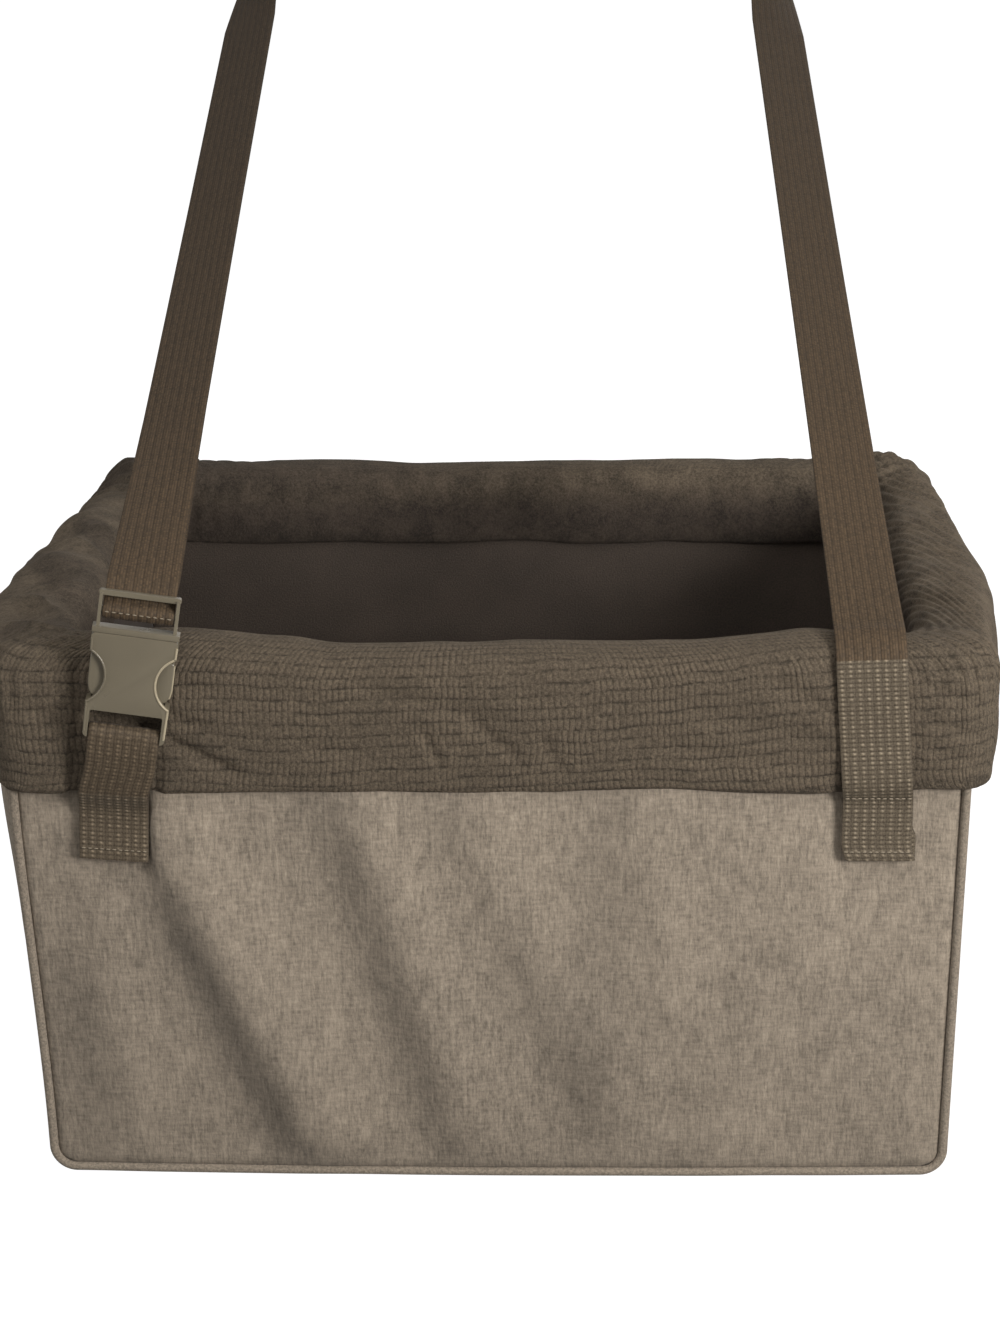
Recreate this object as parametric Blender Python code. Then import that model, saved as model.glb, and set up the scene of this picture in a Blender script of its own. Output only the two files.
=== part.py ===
"""Booster seat for a small dog, hung from a car seat's headrest.

A fabric basket stands on the car seat. A frame of plastic tubes and corner connectors keeps
its walls upright between a woven cover and a smooth lining, and a padded plush collar is
turned over the rim. One webbing strap is sewn to the front on the right, runs back round the
headrest and comes down to a side-release buckle on the left. Its sewn loop hangs from the
front on the left. Metres, +Z up, +X to the viewer's right, +Y towards the seat back. The
origin is the middle of the base, on the surface that the seat stands on.
"""

import math

import bmesh
import bpy
from mathutils import Matrix, Vector

# Basket: the walls draw in a little in width towards the base.
TOP_WIDTH = 0.414
BASE_WIDTH = 0.400
BASKET_DEPTH = 0.300
WALL_TOP = 0.238
BASE_CORNER_RADIUS = 0.012
COVER_THICKNESS = 0.0016
LINING_THICKNESS = 0.0012
PIPING_RADIUS = 0.0020
PIPING_STANDS_PROUD = 0.0008
SIDE_SWELL = 0.006
FRONT_SWELL = 0.0015
SEAM_GAP = 0.0003
FIT = 0.0004

# Frame: tubes pushed into three-way corner connectors.
TUBE_DIAMETER = 0.0125
TUBE_WALL = 0.0014
CONNECTOR_WALL = 0.0018
CONNECTOR_REACH = 0.026
CONNECTOR_BALL_SUNK = 0.0005
TUBE_STARTS = 0.012
BASE_BOARD_THICKNESS = 0.003

# Collar: a padded plush cuff over the rim.
COLLAR_OUTER_DROP = 0.055
COLLAR_INNER_DROP = 0.026
COLLAR_PADDING = 0.0070
COLLAR_CREST_PADDING = 0.0062
COLLAR_SIDE_PADDING = 0.0015
COLLAR_SIDE_BULGE = 0.0045
REAR_CORNERS_DRAWN_IN = 0.0025
COLLAR_CORNER_RADIUS = 0.017
CREST_LIFT_AT_STRAPS = 0.0060
CREST_LIFT_AT_REAR = 0.0055
PLEAT_DEPTH = 0.0012
PLEAT_PITCH = 0.013
PLEATS_REACH = 0.032

# Cushion on the floor of the basket. It lifts out through the collar with this play.
CUSHION_SIDE_PLAY = 0.0030
CUSHION_END_PLAY = 0.0015
CUSHION_EDGE = 0.012
CUSHION_CROWN = 0.030
CUSHION_CORNER_RADIUS = 0.040
CUSHION_SIDES_DRAWN_IN = 0.005

# Webbing and where it is sewn to the front.
WEBBING_WIDTH = 0.030
WEBBING_THICKNESS = 0.0014
LAYER_GAP = 0.0003
FOLD_RADIUS = 0.0014
PATCH_FROM_EDGE = 0.042
PATCH_HEIGHT = 0.031
HEADREST_CENTRE_X = -0.0036
STRAP_TOP_X = 0.137
STRAP_RUN_DEPTH = 0.545
STRAP_RUN_RISE = 0.2378
HEADREST_CORNER_RADIUS = 0.028
RUN_STARTS_BEHIND_FRONT = 0.010
RUN_STARTS_ABOVE_CREST = 0.005
RIGHT_STRAP_DRAWS_IN = 0.005
STRAPS_JOIN_X = -0.095
TAIL_LENGTH = 0.085

# Side-release buckle, in its own frame: u across, v up towards the strap, n to the front.
BUCKLE_ABOVE_HEM = 0.0287
BUCKLE_INSIDE_PATCH = 0.0095
BUCKLE_OFF_COLLAR = 0.0030
BUCKLE_LEAN = math.radians(9.0)
BUCKLE_TURN = math.radians(4)
BUCKLE_TILT_BACK = math.radians(1.5)
WEBBING_SIDE_PLAY = 0.0005
BUCKLE_THICKNESS = 0.0090
SOCKET_LENGTH = 0.0464
SOCKET_FLARE = 0.0011
PLUG_END = 0.0644
PARTING_GAP = 0.0004
END_BAR = 0.0031
WEBBING_WINDOW_TOP = 0.0122
CAVITY_FLOOR = 0.0137
THROAT_WALL = 0.0016
SHELL_WALL = 0.0017
BITE_CENTRE = 0.0270
BITE_HEIGHT = 0.0220
BITE_DEPTH = 0.0068
BITE_RIM_WIDTH = 0.0009
BITE_RIM_HEIGHT = 0.0004
PLUG_BASE_HEIGHT = 0.0022
PLUG_REAR = 0.0026
RAIL_WIDTH = 0.0018
RAIL_INSET = 0.00035
CROSSBAR_HEIGHT = 0.0022
CROSSBAR_THICKNESS = 0.0030
LADDER_BAR_AT = 0.0554
LADDER_BAR_HEIGHT = 0.0034
LADDER_BAR_THICKNESS = 0.0026
GUIDE_WIDTH = 0.0070
GUIDE_THICKNESS = 0.0032
GUIDE_TIP = 0.0200
PRONG_THICKNESS = 0.0050
PRONG_ROOT_RADIUS = 0.0017
PRONG_CATCH = 0.0362

BUCKLE_BEVEL = 0.0008
ROUND_SIDES = 10
PIPING_SIDES = 6


# Derived sizes

HALF_DEPTH = BASKET_DEPTH / 2
COLLAR_UNDERSIDE = WALL_TOP + 2 * FIT
CREST_Z = COLLAR_UNDERSIDE + COLLAR_CREST_PADDING
OUTER_HEM_Z = WALL_TOP - COLLAR_OUTER_DROP
INNER_HEM_Z = WALL_TOP - COLLAR_INNER_DROP
PANEL_INSET = 2 * PIPING_RADIUS + 2 * SEAM_GAP
RIM_CLEARANCE = PIPING_STANDS_PROUD + FIT
CONNECTOR_RADIUS = TUBE_DIAMETER / 2 + SEAM_GAP + CONNECTOR_WALL
FRAME_TOP_Z = WALL_TOP - CONNECTOR_RADIUS - FIT
FRAME_BASE_Z = COVER_THICKNESS + CONNECTOR_RADIUS + 3 * FIT
FRAME_Y = HALF_DEPTH - COVER_THICKNESS - FIT - CONNECTOR_RADIUS
LINING_Y = FRAME_Y - CONNECTOR_RADIUS - FIT
LINING_INNER_Y = LINING_Y - LINING_THICKNESS
BOARD_BASE_Z = COVER_THICKNESS + FIT
FLOOR_Z = BOARD_BASE_Z + BASE_BOARD_THICKNESS + FIT
FLOOR_TOP_Z = FLOOR_Z + LINING_THICKNESS
CUSHION_BASE_Z = FLOOR_TOP_Z + FIT
HALF_WEBBING = WEBBING_THICKNESS / 2
PATCH_X = TOP_WIDTH / 2 - PATCH_FROM_EDGE
PATCH_BOTTOM_Z = OUTER_HEM_Z - PATCH_HEIGHT
PATCH_REAR_Y = -HALF_DEPTH - FRONT_SWELL - FIT - HALF_WEBBING
PATCH_FRONT_Y = PATCH_REAR_Y - WEBBING_THICKNESS - LAYER_GAP
COLLAR_FRONT_Y = -HALF_DEPTH - 1.05 * COLLAR_PADDING
BUCKLE_WIDTH = WEBBING_WIDTH + 2 * (WEBBING_SIDE_PLAY + RAIL_WIDTH)
BUCKLE_BASE = Vector((
    -PATCH_X + BUCKLE_INSIDE_PATCH,
    COLLAR_FRONT_Y - BUCKLE_OFF_COLLAR - BUCKLE_THICKNESS / 2,
    OUTER_HEM_Z + BUCKLE_ABOVE_HEM,
))
RIGHT_RUN_START = Vector((
    PATCH_X - RIGHT_STRAP_DRAWS_IN,
    -HALF_DEPTH + RUN_STARTS_BEHIND_FRONT,
    CREST_Z + CREST_LIFT_AT_STRAPS + RUN_STARTS_ABOVE_CREST,
))
RUN_END_Y = RIGHT_RUN_START.y + STRAP_RUN_DEPTH
RUN_END_Z = RIGHT_RUN_START.z + STRAP_RUN_RISE


def half_width(z):
    """Half the cover's outer width at a height."""
    return (BASE_WIDTH + (TOP_WIDTH - BASE_WIDTH) * z / WALL_TOP) / 2


def frame_x(z):
    """How far a frame post's centreline stands from the middle at a height."""
    low = half_width(FRAME_BASE_Z) - COVER_THICKNESS - 3 * FIT - CONNECTOR_RADIUS
    high = half_width(FRAME_TOP_Z) - COVER_THICKNESS - FIT - CONNECTOR_RADIUS
    return low + (high - low) * (z - FRAME_BASE_Z) / (FRAME_TOP_Z - FRAME_BASE_Z)


def lining_x(z):
    """Half the lining's outer width at a height."""
    return frame_x(z) - CONNECTOR_RADIUS - FIT


def smooth_step(low, high, value):
    """0 below low, 1 above high and an even curve between them."""
    t = min(1.0, max(0.0, (value - low) / (high - low)))
    return t * t * (3 - 2 * t)


def side_swell(y, z):
    """How far the soft side walls stand out past the frame."""
    across = max(0.0, 1 - (y / (HALF_DEPTH - PIPING_RADIUS)) ** 2)
    up = smooth_step(BASE_CORNER_RADIUS, OUTER_HEM_Z * 0.8, z)
    return SIDE_SWELL * across * up * (1 - smooth_step(OUTER_HEM_Z, WALL_TOP, z))


# Materials, scene and mesh helpers

MATERIALS = {}


def linear(channel):
    """A colour channel from 0 to 255 as the light it stands for."""
    value = channel / 255
    return value / 12.92 if value <= 0.04045 else ((value + 0.055) / 1.055) ** 2.4


def material(name, colour, roughness):
    """A plain finish, made once for each name."""
    if name not in MATERIALS:
        made = bpy.data.materials.new(name)
        made.use_nodes = True
        shader = made.node_tree.nodes["Principled BSDF"]
        shader.inputs["Base Color"].default_value = (*map(linear, colour), 1.0)
        shader.inputs["Roughness"].default_value = roughness
        shader.inputs["Metallic"].default_value = 0.0
        MATERIALS[name] = made
    return MATERIALS[name]


def woven_grey():
    return material("woven_grey", (140, 130, 115), 0.85)


def piping_grey():
    return material("piping_grey", (128, 118, 103), 0.85)


def ribbed_plush():
    return material("ribbed_plush", (96, 87, 74), 0.95)


def black_lining():
    return material("black_lining", (38, 33, 31), 0.8)


def webbing_brown():
    return material("webbing_brown", (72, 62, 50), 0.8)


def buckle_plastic():
    return material("buckle_plastic", (106, 100, 88), 0.45)


def frame_plastic():
    return material("frame_plastic", (196, 196, 190), 0.5)


def connector_plastic():
    return material("connector_plastic", (60, 60, 60), 0.5)


def board_fibre():
    return material("board_fibre", (90, 80, 66), 0.9)


def clear_scene():
    for thing in list(bpy.data.objects):
        bpy.data.objects.remove(thing, do_unlink=True)


def add_object(name, form, finish, smooth_angle=40):
    """Adds a bmesh to the scene as one object with one finish, faces outwards."""
    bmesh.ops.recalc_face_normals(form, faces=form.faces)
    data = bpy.data.meshes.new(name)
    form.to_mesh(data)
    form.free()
    data.materials.append(finish)
    data.shade_smooth()
    data.set_sharp_from_angle(angle=math.radians(smooth_angle))
    thing = bpy.data.objects.new(name, data)
    bpy.context.scene.collection.objects.link(thing)
    return thing


def as_helper(thing):
    """Keeps a cutter or a joined-in shape out of renders."""
    thing.hide_render = True
    thing.display_type = "WIRE"
    return thing


def boolean(target, other, operation):
    """Adds an exact Boolean of another object, which becomes a helper."""
    modifier = target.modifiers.new(operation.title(), "BOOLEAN")
    modifier.operation = operation
    modifier.solver = "EXACT"
    modifier.object = as_helper(other)


def stack_of_loops(loops, closed):
    """A bmesh skinned over loops of equal length, capped at its ends or closed in a ring."""
    form = bmesh.new()
    rows = [[form.verts.new(point) for point in loop] for loop in loops]
    count = len(rows[0])
    pairs = list(zip(rows, rows[1:]))
    if closed:
        pairs.append((rows[-1], rows[0]))
    for lower, upper in pairs:
        for i in range(count):
            j = (i + 1) % count
            form.faces.new((lower[i], lower[j], upper[j], upper[i]))
    if not closed:
        form.faces.new(reversed(rows[0]))
        form.faces.new(rows[-1])
    return form


def slab(outer, inner):
    """A closed bmesh between two grids of points, given as rows of equal length."""
    form = bmesh.new()
    front = [[form.verts.new(point) for point in row] for row in outer]
    back = [[form.verts.new(point) for point in row] for row in inner]
    rows, columns = len(front), len(front[0])
    for i in range(rows - 1):
        for j in range(columns - 1):
            for side in (front, back):
                form.faces.new((side[i][j], side[i][j + 1], side[i + 1][j + 1], side[i + 1][j]))
    rim = [(0, j) for j in range(columns)]
    rim += [(i, columns - 1) for i in range(1, rows)]
    rim += [(rows - 1, j) for j in range(columns - 2, -1, -1)]
    rim += [(i, 0) for i in range(rows - 2, 0, -1)]
    for (i, j), (k, m) in zip(rim, rim[1:] + rim[:1]):
        form.faces.new((front[i][j], front[k][m], back[k][m], back[i][j]))
    return form


def extruded(outline, low, high):
    """A bmesh prism on an outline of (u, v) points, from low to high along its third axis."""
    return stack_of_loops([[(u, v, n) for u, v in outline] for n in (low, high)], closed=False)


def box(low, high):
    """A bmesh box between two corners."""
    (x0, y0, z0), (x1, y1, z1) = low, high
    return extruded(((x0, y0), (x1, y0), (x1, y1), (x0, y1)), z0, z1)


def bevelled(form, width):
    """The same bmesh with its sharp edges taken off."""
    bmesh.ops.recalc_face_normals(form, faces=form.faces)
    sharp = [edge for edge in form.edges if edge.calc_face_angle(0) > math.radians(50)]
    bmesh.ops.bevel(form, geom=sharp, offset=width, segments=1, affect="EDGES", clamp_overlap=True)
    return form


def arc(centre, radius, start, end, steps):
    """Points along an arc in a plane, angles in degrees."""
    angles = [math.radians(start + (end - start) * i / steps) for i in range(steps + 1)]
    return [(centre[0] + radius * math.cos(a), centre[1] + radius * math.sin(a)) for a in angles]


def rounded_rectangle(half_x, half_y, radius, corner_steps=5, x_steps=13, y_steps=10):
    """Anticlockwise points from the right side's rear end, with more of them near the corners."""
    points = []
    corners = ((1, 1, 0), (-1, 1, 90), (-1, -1, 180), (1, -1, 270))
    reach_x, reach_y = half_x - radius, half_y - radius
    for k, (sx, sy, start) in enumerate(corners):
        bend = arc((sx * reach_x, sy * reach_y), radius, start, start + 90, corner_steps)
        points += bend
        tx, ty, turn = corners[(k + 1) % 4]
        next_start = arc((tx * reach_x, ty * reach_y), radius, turn, turn, 1)[0]
        steps = x_steps if k % 2 == 0 else y_steps
        for i in range(1, steps):
            t = i / steps
            t -= 0.8 * math.sin(2 * math.pi * t) / (2 * math.pi)
            points.append(tuple(a + (b - a) * t for a, b in zip(bend[-1], next_start)))
    return points


def smooth_path(points, longest):
    """A centripetal curve through the points, no step longer than a given length."""
    points = [Vector(p) for p in points]
    ends = [2 * points[0] - points[1], *points, 2 * points[-1] - points[-2]]
    path, where = [], []
    for k in range(len(points) - 1):
        p0, p1, p2, p3 = ends[k : k + 4]
        knots = [0.0]
        for a, b in ((p0, p1), (p1, p2), (p2, p3)):
            knots.append(knots[-1] + max((b - a).length, 1e-6) ** 0.5)
        t0, t1, t2, t3 = knots
        steps = max(2, math.ceil((p2 - p1).length / longest))
        for i in range(steps):
            t = t1 + (t2 - t1) * i / steps
            a1 = p0 * ((t1 - t) / (t1 - t0)) + p1 * ((t - t0) / (t1 - t0))
            a2 = p1 * ((t2 - t) / (t2 - t1)) + p2 * ((t - t1) / (t2 - t1))
            a3 = p2 * ((t3 - t) / (t3 - t2)) + p3 * ((t - t2) / (t3 - t2))
            b1 = a1 * ((t2 - t) / (t2 - t0)) + a2 * ((t - t0) / (t2 - t0))
            b2 = a2 * ((t3 - t) / (t3 - t1)) + a3 * ((t - t1) / (t3 - t1))
            path.append(b1 * ((t2 - t) / (t2 - t1)) + b2 * ((t - t1) / (t2 - t1)))
            where.append(k + i / steps)
    return [*path, points[-1]], [*where, len(points) - 1.0]


def ribbon(stations, longest=0.030):
    """Webbing along (point, width direction) stations, as a closed bmesh.

    Its two wide faces are split along the same diagonals, so a twist doesn't bring them together.
    """
    path, where = smooth_path([point for point, _ in stations], longest)
    loops = []
    for i, point in enumerate(path):
        along = (path[min(i + 1, len(path) - 1)] - path[max(i - 1, 0)]).normalized()
        k = min(int(where[i]), len(stations) - 2)
        share = where[i] - k
        across = stations[k][1].lerp(stations[k + 1][1], share)
        across = (across - along * across.dot(along)).normalized() * WEBBING_WIDTH / 2
        through = along.cross(across).normalized() * HALF_WEBBING
        loops.append([point - across - through, point + across - through,
                      point + across + through, point - across + through])
    form = bmesh.new()
    rows = [[form.verts.new(point) for point in loop] for loop in loops]
    for (a, b, c, d), (e, f, g, h) in zip(rows, rows[1:]):
        for corners in ((a, b, f), (a, f, e), (c, d, g), (d, h, g), (b, c, g, f), (d, a, e, h)):
            form.faces.new(corners)
    form.faces.new(reversed(rows[0]))
    form.faces.new(rows[-1])
    return form


# Cover

# Soft folds of the front panel: where each starts and ends (x, z), its width and its depth.
FRONT_FOLDS = (
    ((-0.125, 0.150), (-0.090, 0.030), 0.017, 0.0035),
    ((-0.072, 0.170), (-0.040, 0.030), 0.013, 0.0024),
    ((0.130, 0.150), (0.080, 0.060), 0.016, 0.0014),
)


def front_relief(x, z):
    """How far the front panel stands out at a point: a slight swell less its soft folds."""
    inside = smooth_step(0, 0.03, z) * (1 - smooth_step(OUTER_HEM_Z - 0.02, OUTER_HEM_Z, z))
    inside *= 1 - smooth_step(0.150, 0.185, abs(x))
    out = FRONT_SWELL * (1 - (x / half_width(z)) ** 2)
    for (x0, z0), (x1, z1), width, depth in FRONT_FOLDS:
        length = math.hypot(x1 - x0, z1 - z0)
        along = ((x - x0) * (x1 - x0) + (z - z0) * (z1 - z0)) / length**2
        aside = ((x - x0) * (z1 - z0) - (z - z0) * (x1 - x0)) / length
        fade = smooth_step(-0.25, 0.25, along) * (1 - smooth_step(0.75, 1.25, along))
        out -= depth * fade * math.exp(-((aside / width) ** 2))
    return out * inside


def wall_heights(inset, rows):
    """Heights up a wall whose foot is rounded, with its outline drawn in by inset."""
    radius = BASE_CORNER_RADIUS - inset
    foot = [BASE_CORNER_RADIUS - radius * math.cos(math.radians(a)) for a in (0, 30, 60)]
    rise = WALL_TOP - BASE_CORNER_RADIUS
    return foot + [BASE_CORNER_RADIUS + rise * i / rows for i in range(rows + 1)]


def outline_x(z, inset):
    """Half the width of the cover's outline at a height, drawn in by inset."""
    if z >= BASE_CORNER_RADIUS:
        return half_width(z) - inset
    drop, inner = BASE_CORNER_RADIUS - z, BASE_CORNER_RADIUS - inset
    return half_width(z) - BASE_CORNER_RADIUS + math.sqrt(max(0.0, inner**2 - drop**2))


def end_panel(name, side, relief, columns, rows):
    """The front (side -1) or back (side 1) panel of the cover."""
    def row(z, depth):
        reach = outline_x(z, PANEL_INSET)
        across = [reach * (2 * j / columns - 1) for j in range(columns + 1)]
        return [(x, side * (HALF_DEPTH + relief(x, z) - depth), z) for x in across]

    heights = wall_heights(PANEL_INSET, rows)
    form = slab([row(z, 0) for z in heights], [row(z, COVER_THICKNESS) for z in heights])
    return add_object(name, form, woven_grey())


def side_panel(name, side, columns=8, rows=8):
    """A side panel, which turns under the basket with the rounded edge of its base."""
    reach = HALF_DEPTH + PIPING_STANDS_PROUD - PANEL_INSET

    def row(z, turn, depth):
        radius = BASE_CORNER_RADIUS - depth
        if turn is not None:
            x = half_width(z) - BASE_CORNER_RADIUS + radius * math.sin(turn)
            z = BASE_CORNER_RADIUS - radius * math.cos(turn)
        else:
            x = half_width(z) - depth
        across = [reach * (2 * j / columns - 1) for j in range(columns + 1)]
        return [(side * (x + side_swell(y, z)), y, z) for y in across]

    turns = [(0.0, math.radians(a)) for a in (0, 30, 60)]
    rise = [(z, None) for z in wall_heights(0, rows)[3:]]
    grids = [[row(z, turn, depth) for z, turn in turns + rise] for depth in (0, COVER_THICKNESS)]
    return add_object(name, slab(*grids), woven_grey())


def bottom_panel():
    reach_x = BASE_WIDTH / 2 - BASE_CORNER_RADIUS - SEAM_GAP
    reach_y = HALF_DEPTH + PIPING_STANDS_PROUD - PANEL_INSET
    form = box((-reach_x, -reach_y, 0), (reach_x, reach_y, COVER_THICKNESS))
    return add_object("bottom_panel", form, woven_grey())


def piping(name, side):
    """Piping down one edge of the front or back panel, along its foot and up the other edge."""
    inset = PIPING_RADIUS + SEAM_GAP / 2
    heights = wall_heights(inset, 6)
    right = [(outline_x(z, inset), z) for z in heights]
    foot = [(right[0][0] * (1 - 2 * i / 6), right[0][1]) for i in range(1, 6)]
    route = list(reversed(right)) + foot + [(-x, z) for x, z in right]
    y = side * (HALF_DEPTH + PIPING_STANDS_PROUD - PIPING_RADIUS)
    loops = []
    for i, (x, z) in enumerate(route):
        x0, z0 = route[max(i - 1, 0)]
        x1, z1 = route[min(i + 1, len(route) - 1)]
        out = Vector((z0 - z1, 0, x1 - x0)).normalized()
        loop = []
        for k in range(PIPING_SIDES):
            turn = 2 * math.pi * k / PIPING_SIDES
            reach = out * math.cos(turn) + Vector((0, side, 0)) * math.sin(turn)
            loop.append(Vector((x, y, z)) + reach * PIPING_RADIUS)
        loops.append(loop)
    return add_object(name, stack_of_loops(loops, closed=False), piping_grey())


# Lining

def lining_end(name, side):
    def row(z, depth):
        reach = lining_x(z)
        return [(x, side * (LINING_Y - depth), z) for x in (-reach, reach)]

    heights = (FLOOR_Z, WALL_TOP)
    form = slab([row(z, 0) for z in heights], [row(z, LINING_THICKNESS) for z in heights])
    return add_object(name, form, black_lining())


def lining_side(name, side):
    reach = LINING_INNER_Y - SEAM_GAP

    def row(z, depth):
        return [(side * (lining_x(z) - depth), y, z) for y in (-reach, reach)]

    heights = (FLOOR_Z, WALL_TOP)
    form = slab([row(z, 0) for z in heights], [row(z, LINING_THICKNESS) for z in heights])
    return add_object(name, form, black_lining())


def lining_floor():
    reach_x = lining_x(FLOOR_Z) - LINING_THICKNESS - SEAM_GAP
    reach_y = LINING_INNER_Y - SEAM_GAP
    form = box((-reach_x, -reach_y, FLOOR_Z), (reach_x, reach_y, FLOOR_TOP_Z))
    return add_object("lining_floor", form, black_lining())


def base_board():
    reach_x = frame_x(FRAME_BASE_Z) - CONNECTOR_RADIUS - FIT
    reach_y = FRAME_Y - CONNECTOR_RADIUS - FIT
    top = BOARD_BASE_Z + BASE_BOARD_THICKNESS
    outline = rounded_rectangle(reach_x, reach_y, 0.012, 4, 1, 1)
    return add_object("base_board", extruded(outline, BOARD_BASE_Z, top), board_fibre())


# Frame

def pole(start, end, radius, sides=ROUND_SIDES):
    """A bmesh rod between two points."""
    start, end = Vector(start), Vector(end)
    along = (end - start).normalized()
    across = along.cross(Vector((0.3, 0.5, 0.8))).normalized()
    other = along.cross(across)
    turns = [2 * math.pi * k / sides for k in range(sides)]
    ring = [(across * math.cos(t) + other * math.sin(t)) * radius for t in turns]
    return stack_of_loops([[point + r for r in ring] for point in (start, end)], closed=False)


def tube(name, start, end):
    """A hollow frame tube between two corners, stopping inside their connectors."""
    along = (end - start).normalized()
    start, end = start + along * TUBE_STARTS, end - along * TUBE_STARTS
    inner = TUBE_DIAMETER / 2 - TUBE_WALL
    across = along.cross(Vector((0.3, 0.5, 0.8))).normalized()
    other = along.cross(across)
    turns = [2 * math.pi * k / ROUND_SIDES for k in range(ROUND_SIDES)]
    loops = []
    for point, radius in ((start, TUBE_DIAMETER / 2), (end, TUBE_DIAMETER / 2), (end, inner), (start, inner)):
        loops.append([point + (across * math.cos(t) + other * math.sin(t)) * radius for t in turns])
    return add_object(name, stack_of_loops(loops, closed=True), frame_plastic())


def connector(name, corner, neighbours):
    """A three-way corner: a socket towards each neighbouring corner round a ball."""
    form = bmesh.new()
    ball = CONNECTOR_RADIUS - CONNECTOR_BALL_SUNK
    place = Matrix.Translation(corner)
    bmesh.ops.create_icosphere(form, subdivisions=1, radius=ball, matrix=place)
    body = add_object(name, form, connector_plastic())
    bore = TUBE_DIAMETER / 2 + SEAM_GAP
    ways = [(neighbour - corner).normalized() for neighbour in neighbours]
    for k, along in enumerate(ways):
        arm = pole(corner, corner + along * CONNECTOR_REACH, CONNECTOR_RADIUS)
        boolean(body, add_object(f"{name}_arm_{k}", arm, connector_plastic()), "UNION")
    for k, along in enumerate(ways):
        start = corner + along * (TUBE_STARTS - FIT)
        hole = pole(start, start + along * CONNECTOR_REACH, bore)
        boolean(body, add_object(f"{name}_bore_{k}", hole, connector_plastic()), "DIFFERENCE")
    return body


def frame():
    """Eight connectors joined by twelve tubes, named by where they stand."""
    corners = {}
    for level, z in (("lower", FRAME_BASE_Z), ("upper", FRAME_TOP_Z)):
        for end, sy in (("front", -1), ("rear", 1)):
            for side, sx in (("left", -1), ("right", 1)):
                corners[level, end, side] = Vector((sx * frame_x(z), sy * FRAME_Y, z))
    other = {"lower": "upper", "front": "rear", "left": "right"}
    other |= {value: key for key, value in other.items()}
    for (level, end, side), corner in corners.items():
        keys = ((other[level], end, side), (level, other[end], side), (level, end, other[side]))
        connector(f"connector_{level}_{end}_{side}", corner, [corners[key] for key in keys])
    for end in ("front", "rear"):
        for side in ("left", "right"):
            tube(f"post_{end}_{side}", corners["lower", end, side], corners["upper", end, side])
    for level in ("lower", "upper"):
        for end in ("front", "rear"):
            tube(f"rail_{level}_{end}", corners[level, end, "left"], corners[level, end, "right"])
        for side in ("left", "right"):
            tube(f"rail_{level}_{side}", corners[level, "front", side], corners[level, "rear", side])


# Collar

def crest_change(x, y):
    """How the crest rises by the straps at the front, and towards the rear."""
    front = smooth_step(0, HALF_DEPTH, -y)
    lift = CREST_LIFT_AT_STRAPS * smooth_step(0.055, PATCH_X - 0.02, abs(x)) * front
    return lift + CREST_LIFT_AT_REAR * smooth_step(0, HALF_DEPTH, y)


def plan_change(x, y, half_x, bulge, rise):
    """How far the collar's sides stand out in plan, less what the rear corners are drawn in."""
    middle = 1 - smooth_step(0.4 * HALF_DEPTH, 0.95 * HALF_DEPTH, abs(y + 0.25 * HALF_DEPTH))
    rear = smooth_step(0.1 * HALF_DEPTH, HALF_DEPTH, y)
    side = smooth_step(0.5, 1, abs(x) / half_x)
    return math.copysign(side, x) * (COLLAR_SIDE_BULGE * bulge * middle - REAR_CORNERS_DRAWN_IN * rise * rear)


def pleats(x, y, half_x, half_y):
    """Gathers of the plush at the corners: how far it stands out, from -1 to 1."""
    away = math.hypot(half_x - abs(x), half_y - abs(y))
    return math.cos(2 * math.pi * away / PLEAT_PITCH) * math.exp(-((away / PLEATS_REACH) ** 2))


def collar_profile():
    """The cuff's section from its outer hem over the crest to its inner hem and back under.

    Each entry: cover or lining reference, distance out from it, height, corner radius,
    share of the crest's rise and share of the pleats.
    """
    pad, underside = COLLAR_PADDING, COLLAR_UNDERSIDE
    wall = HALF_DEPTH - LINING_INNER_Y
    corner = COLLAR_CORNER_RADIUS
    tight = 0.004
    return (
        ("cover", RIM_CLEARANCE, OUTER_HEM_Z + 0.003, tight, 0, 0),
        ("cover", 0.45 * pad, OUTER_HEM_Z, 0.35 * corner, 0, 0.3),
        ("cover", 0.90 * pad, OUTER_HEM_Z + 0.003, 0.75 * corner, 0, 0.7),
        ("cover", 1.00 * pad, OUTER_HEM_Z + 0.020, corner, 0.1, 1),
        ("cover", 1.05 * pad, underside - 0.014, corner, 0.5, 1),
        ("cover", 0.75 * pad, underside + 0.001, 0.8 * corner, 0.9, 1),
        ("cover", -0.10 * wall, CREST_Z - 0.0030, corner, 1, 0.6),
        ("cover", -0.50 * wall, CREST_Z, corner, 1, 0.5),
        ("lining", 0.10 * wall, CREST_Z - 0.0030, corner, 1, 0.6),
        ("lining", -0.75 * pad, underside + 0.001, corner, 0.9, 1),
        ("lining", -1.00 * pad, underside - 0.016, corner, 0.4, 1),
        ("lining", -0.95 * pad, INNER_HEM_Z + 0.003, corner, 0, 0.6),
        ("lining", -0.50 * pad, INNER_HEM_Z, corner, 0, 0.3),
        ("lining", -FIT, INNER_HEM_Z + 0.003, 0.6 * corner, 0, 0),
        ("lining", -FIT, underside, 0.6 * corner, 0, 0),
        ("cover", RIM_CLEARANCE, underside, tight, 0, 0),
    )


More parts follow.
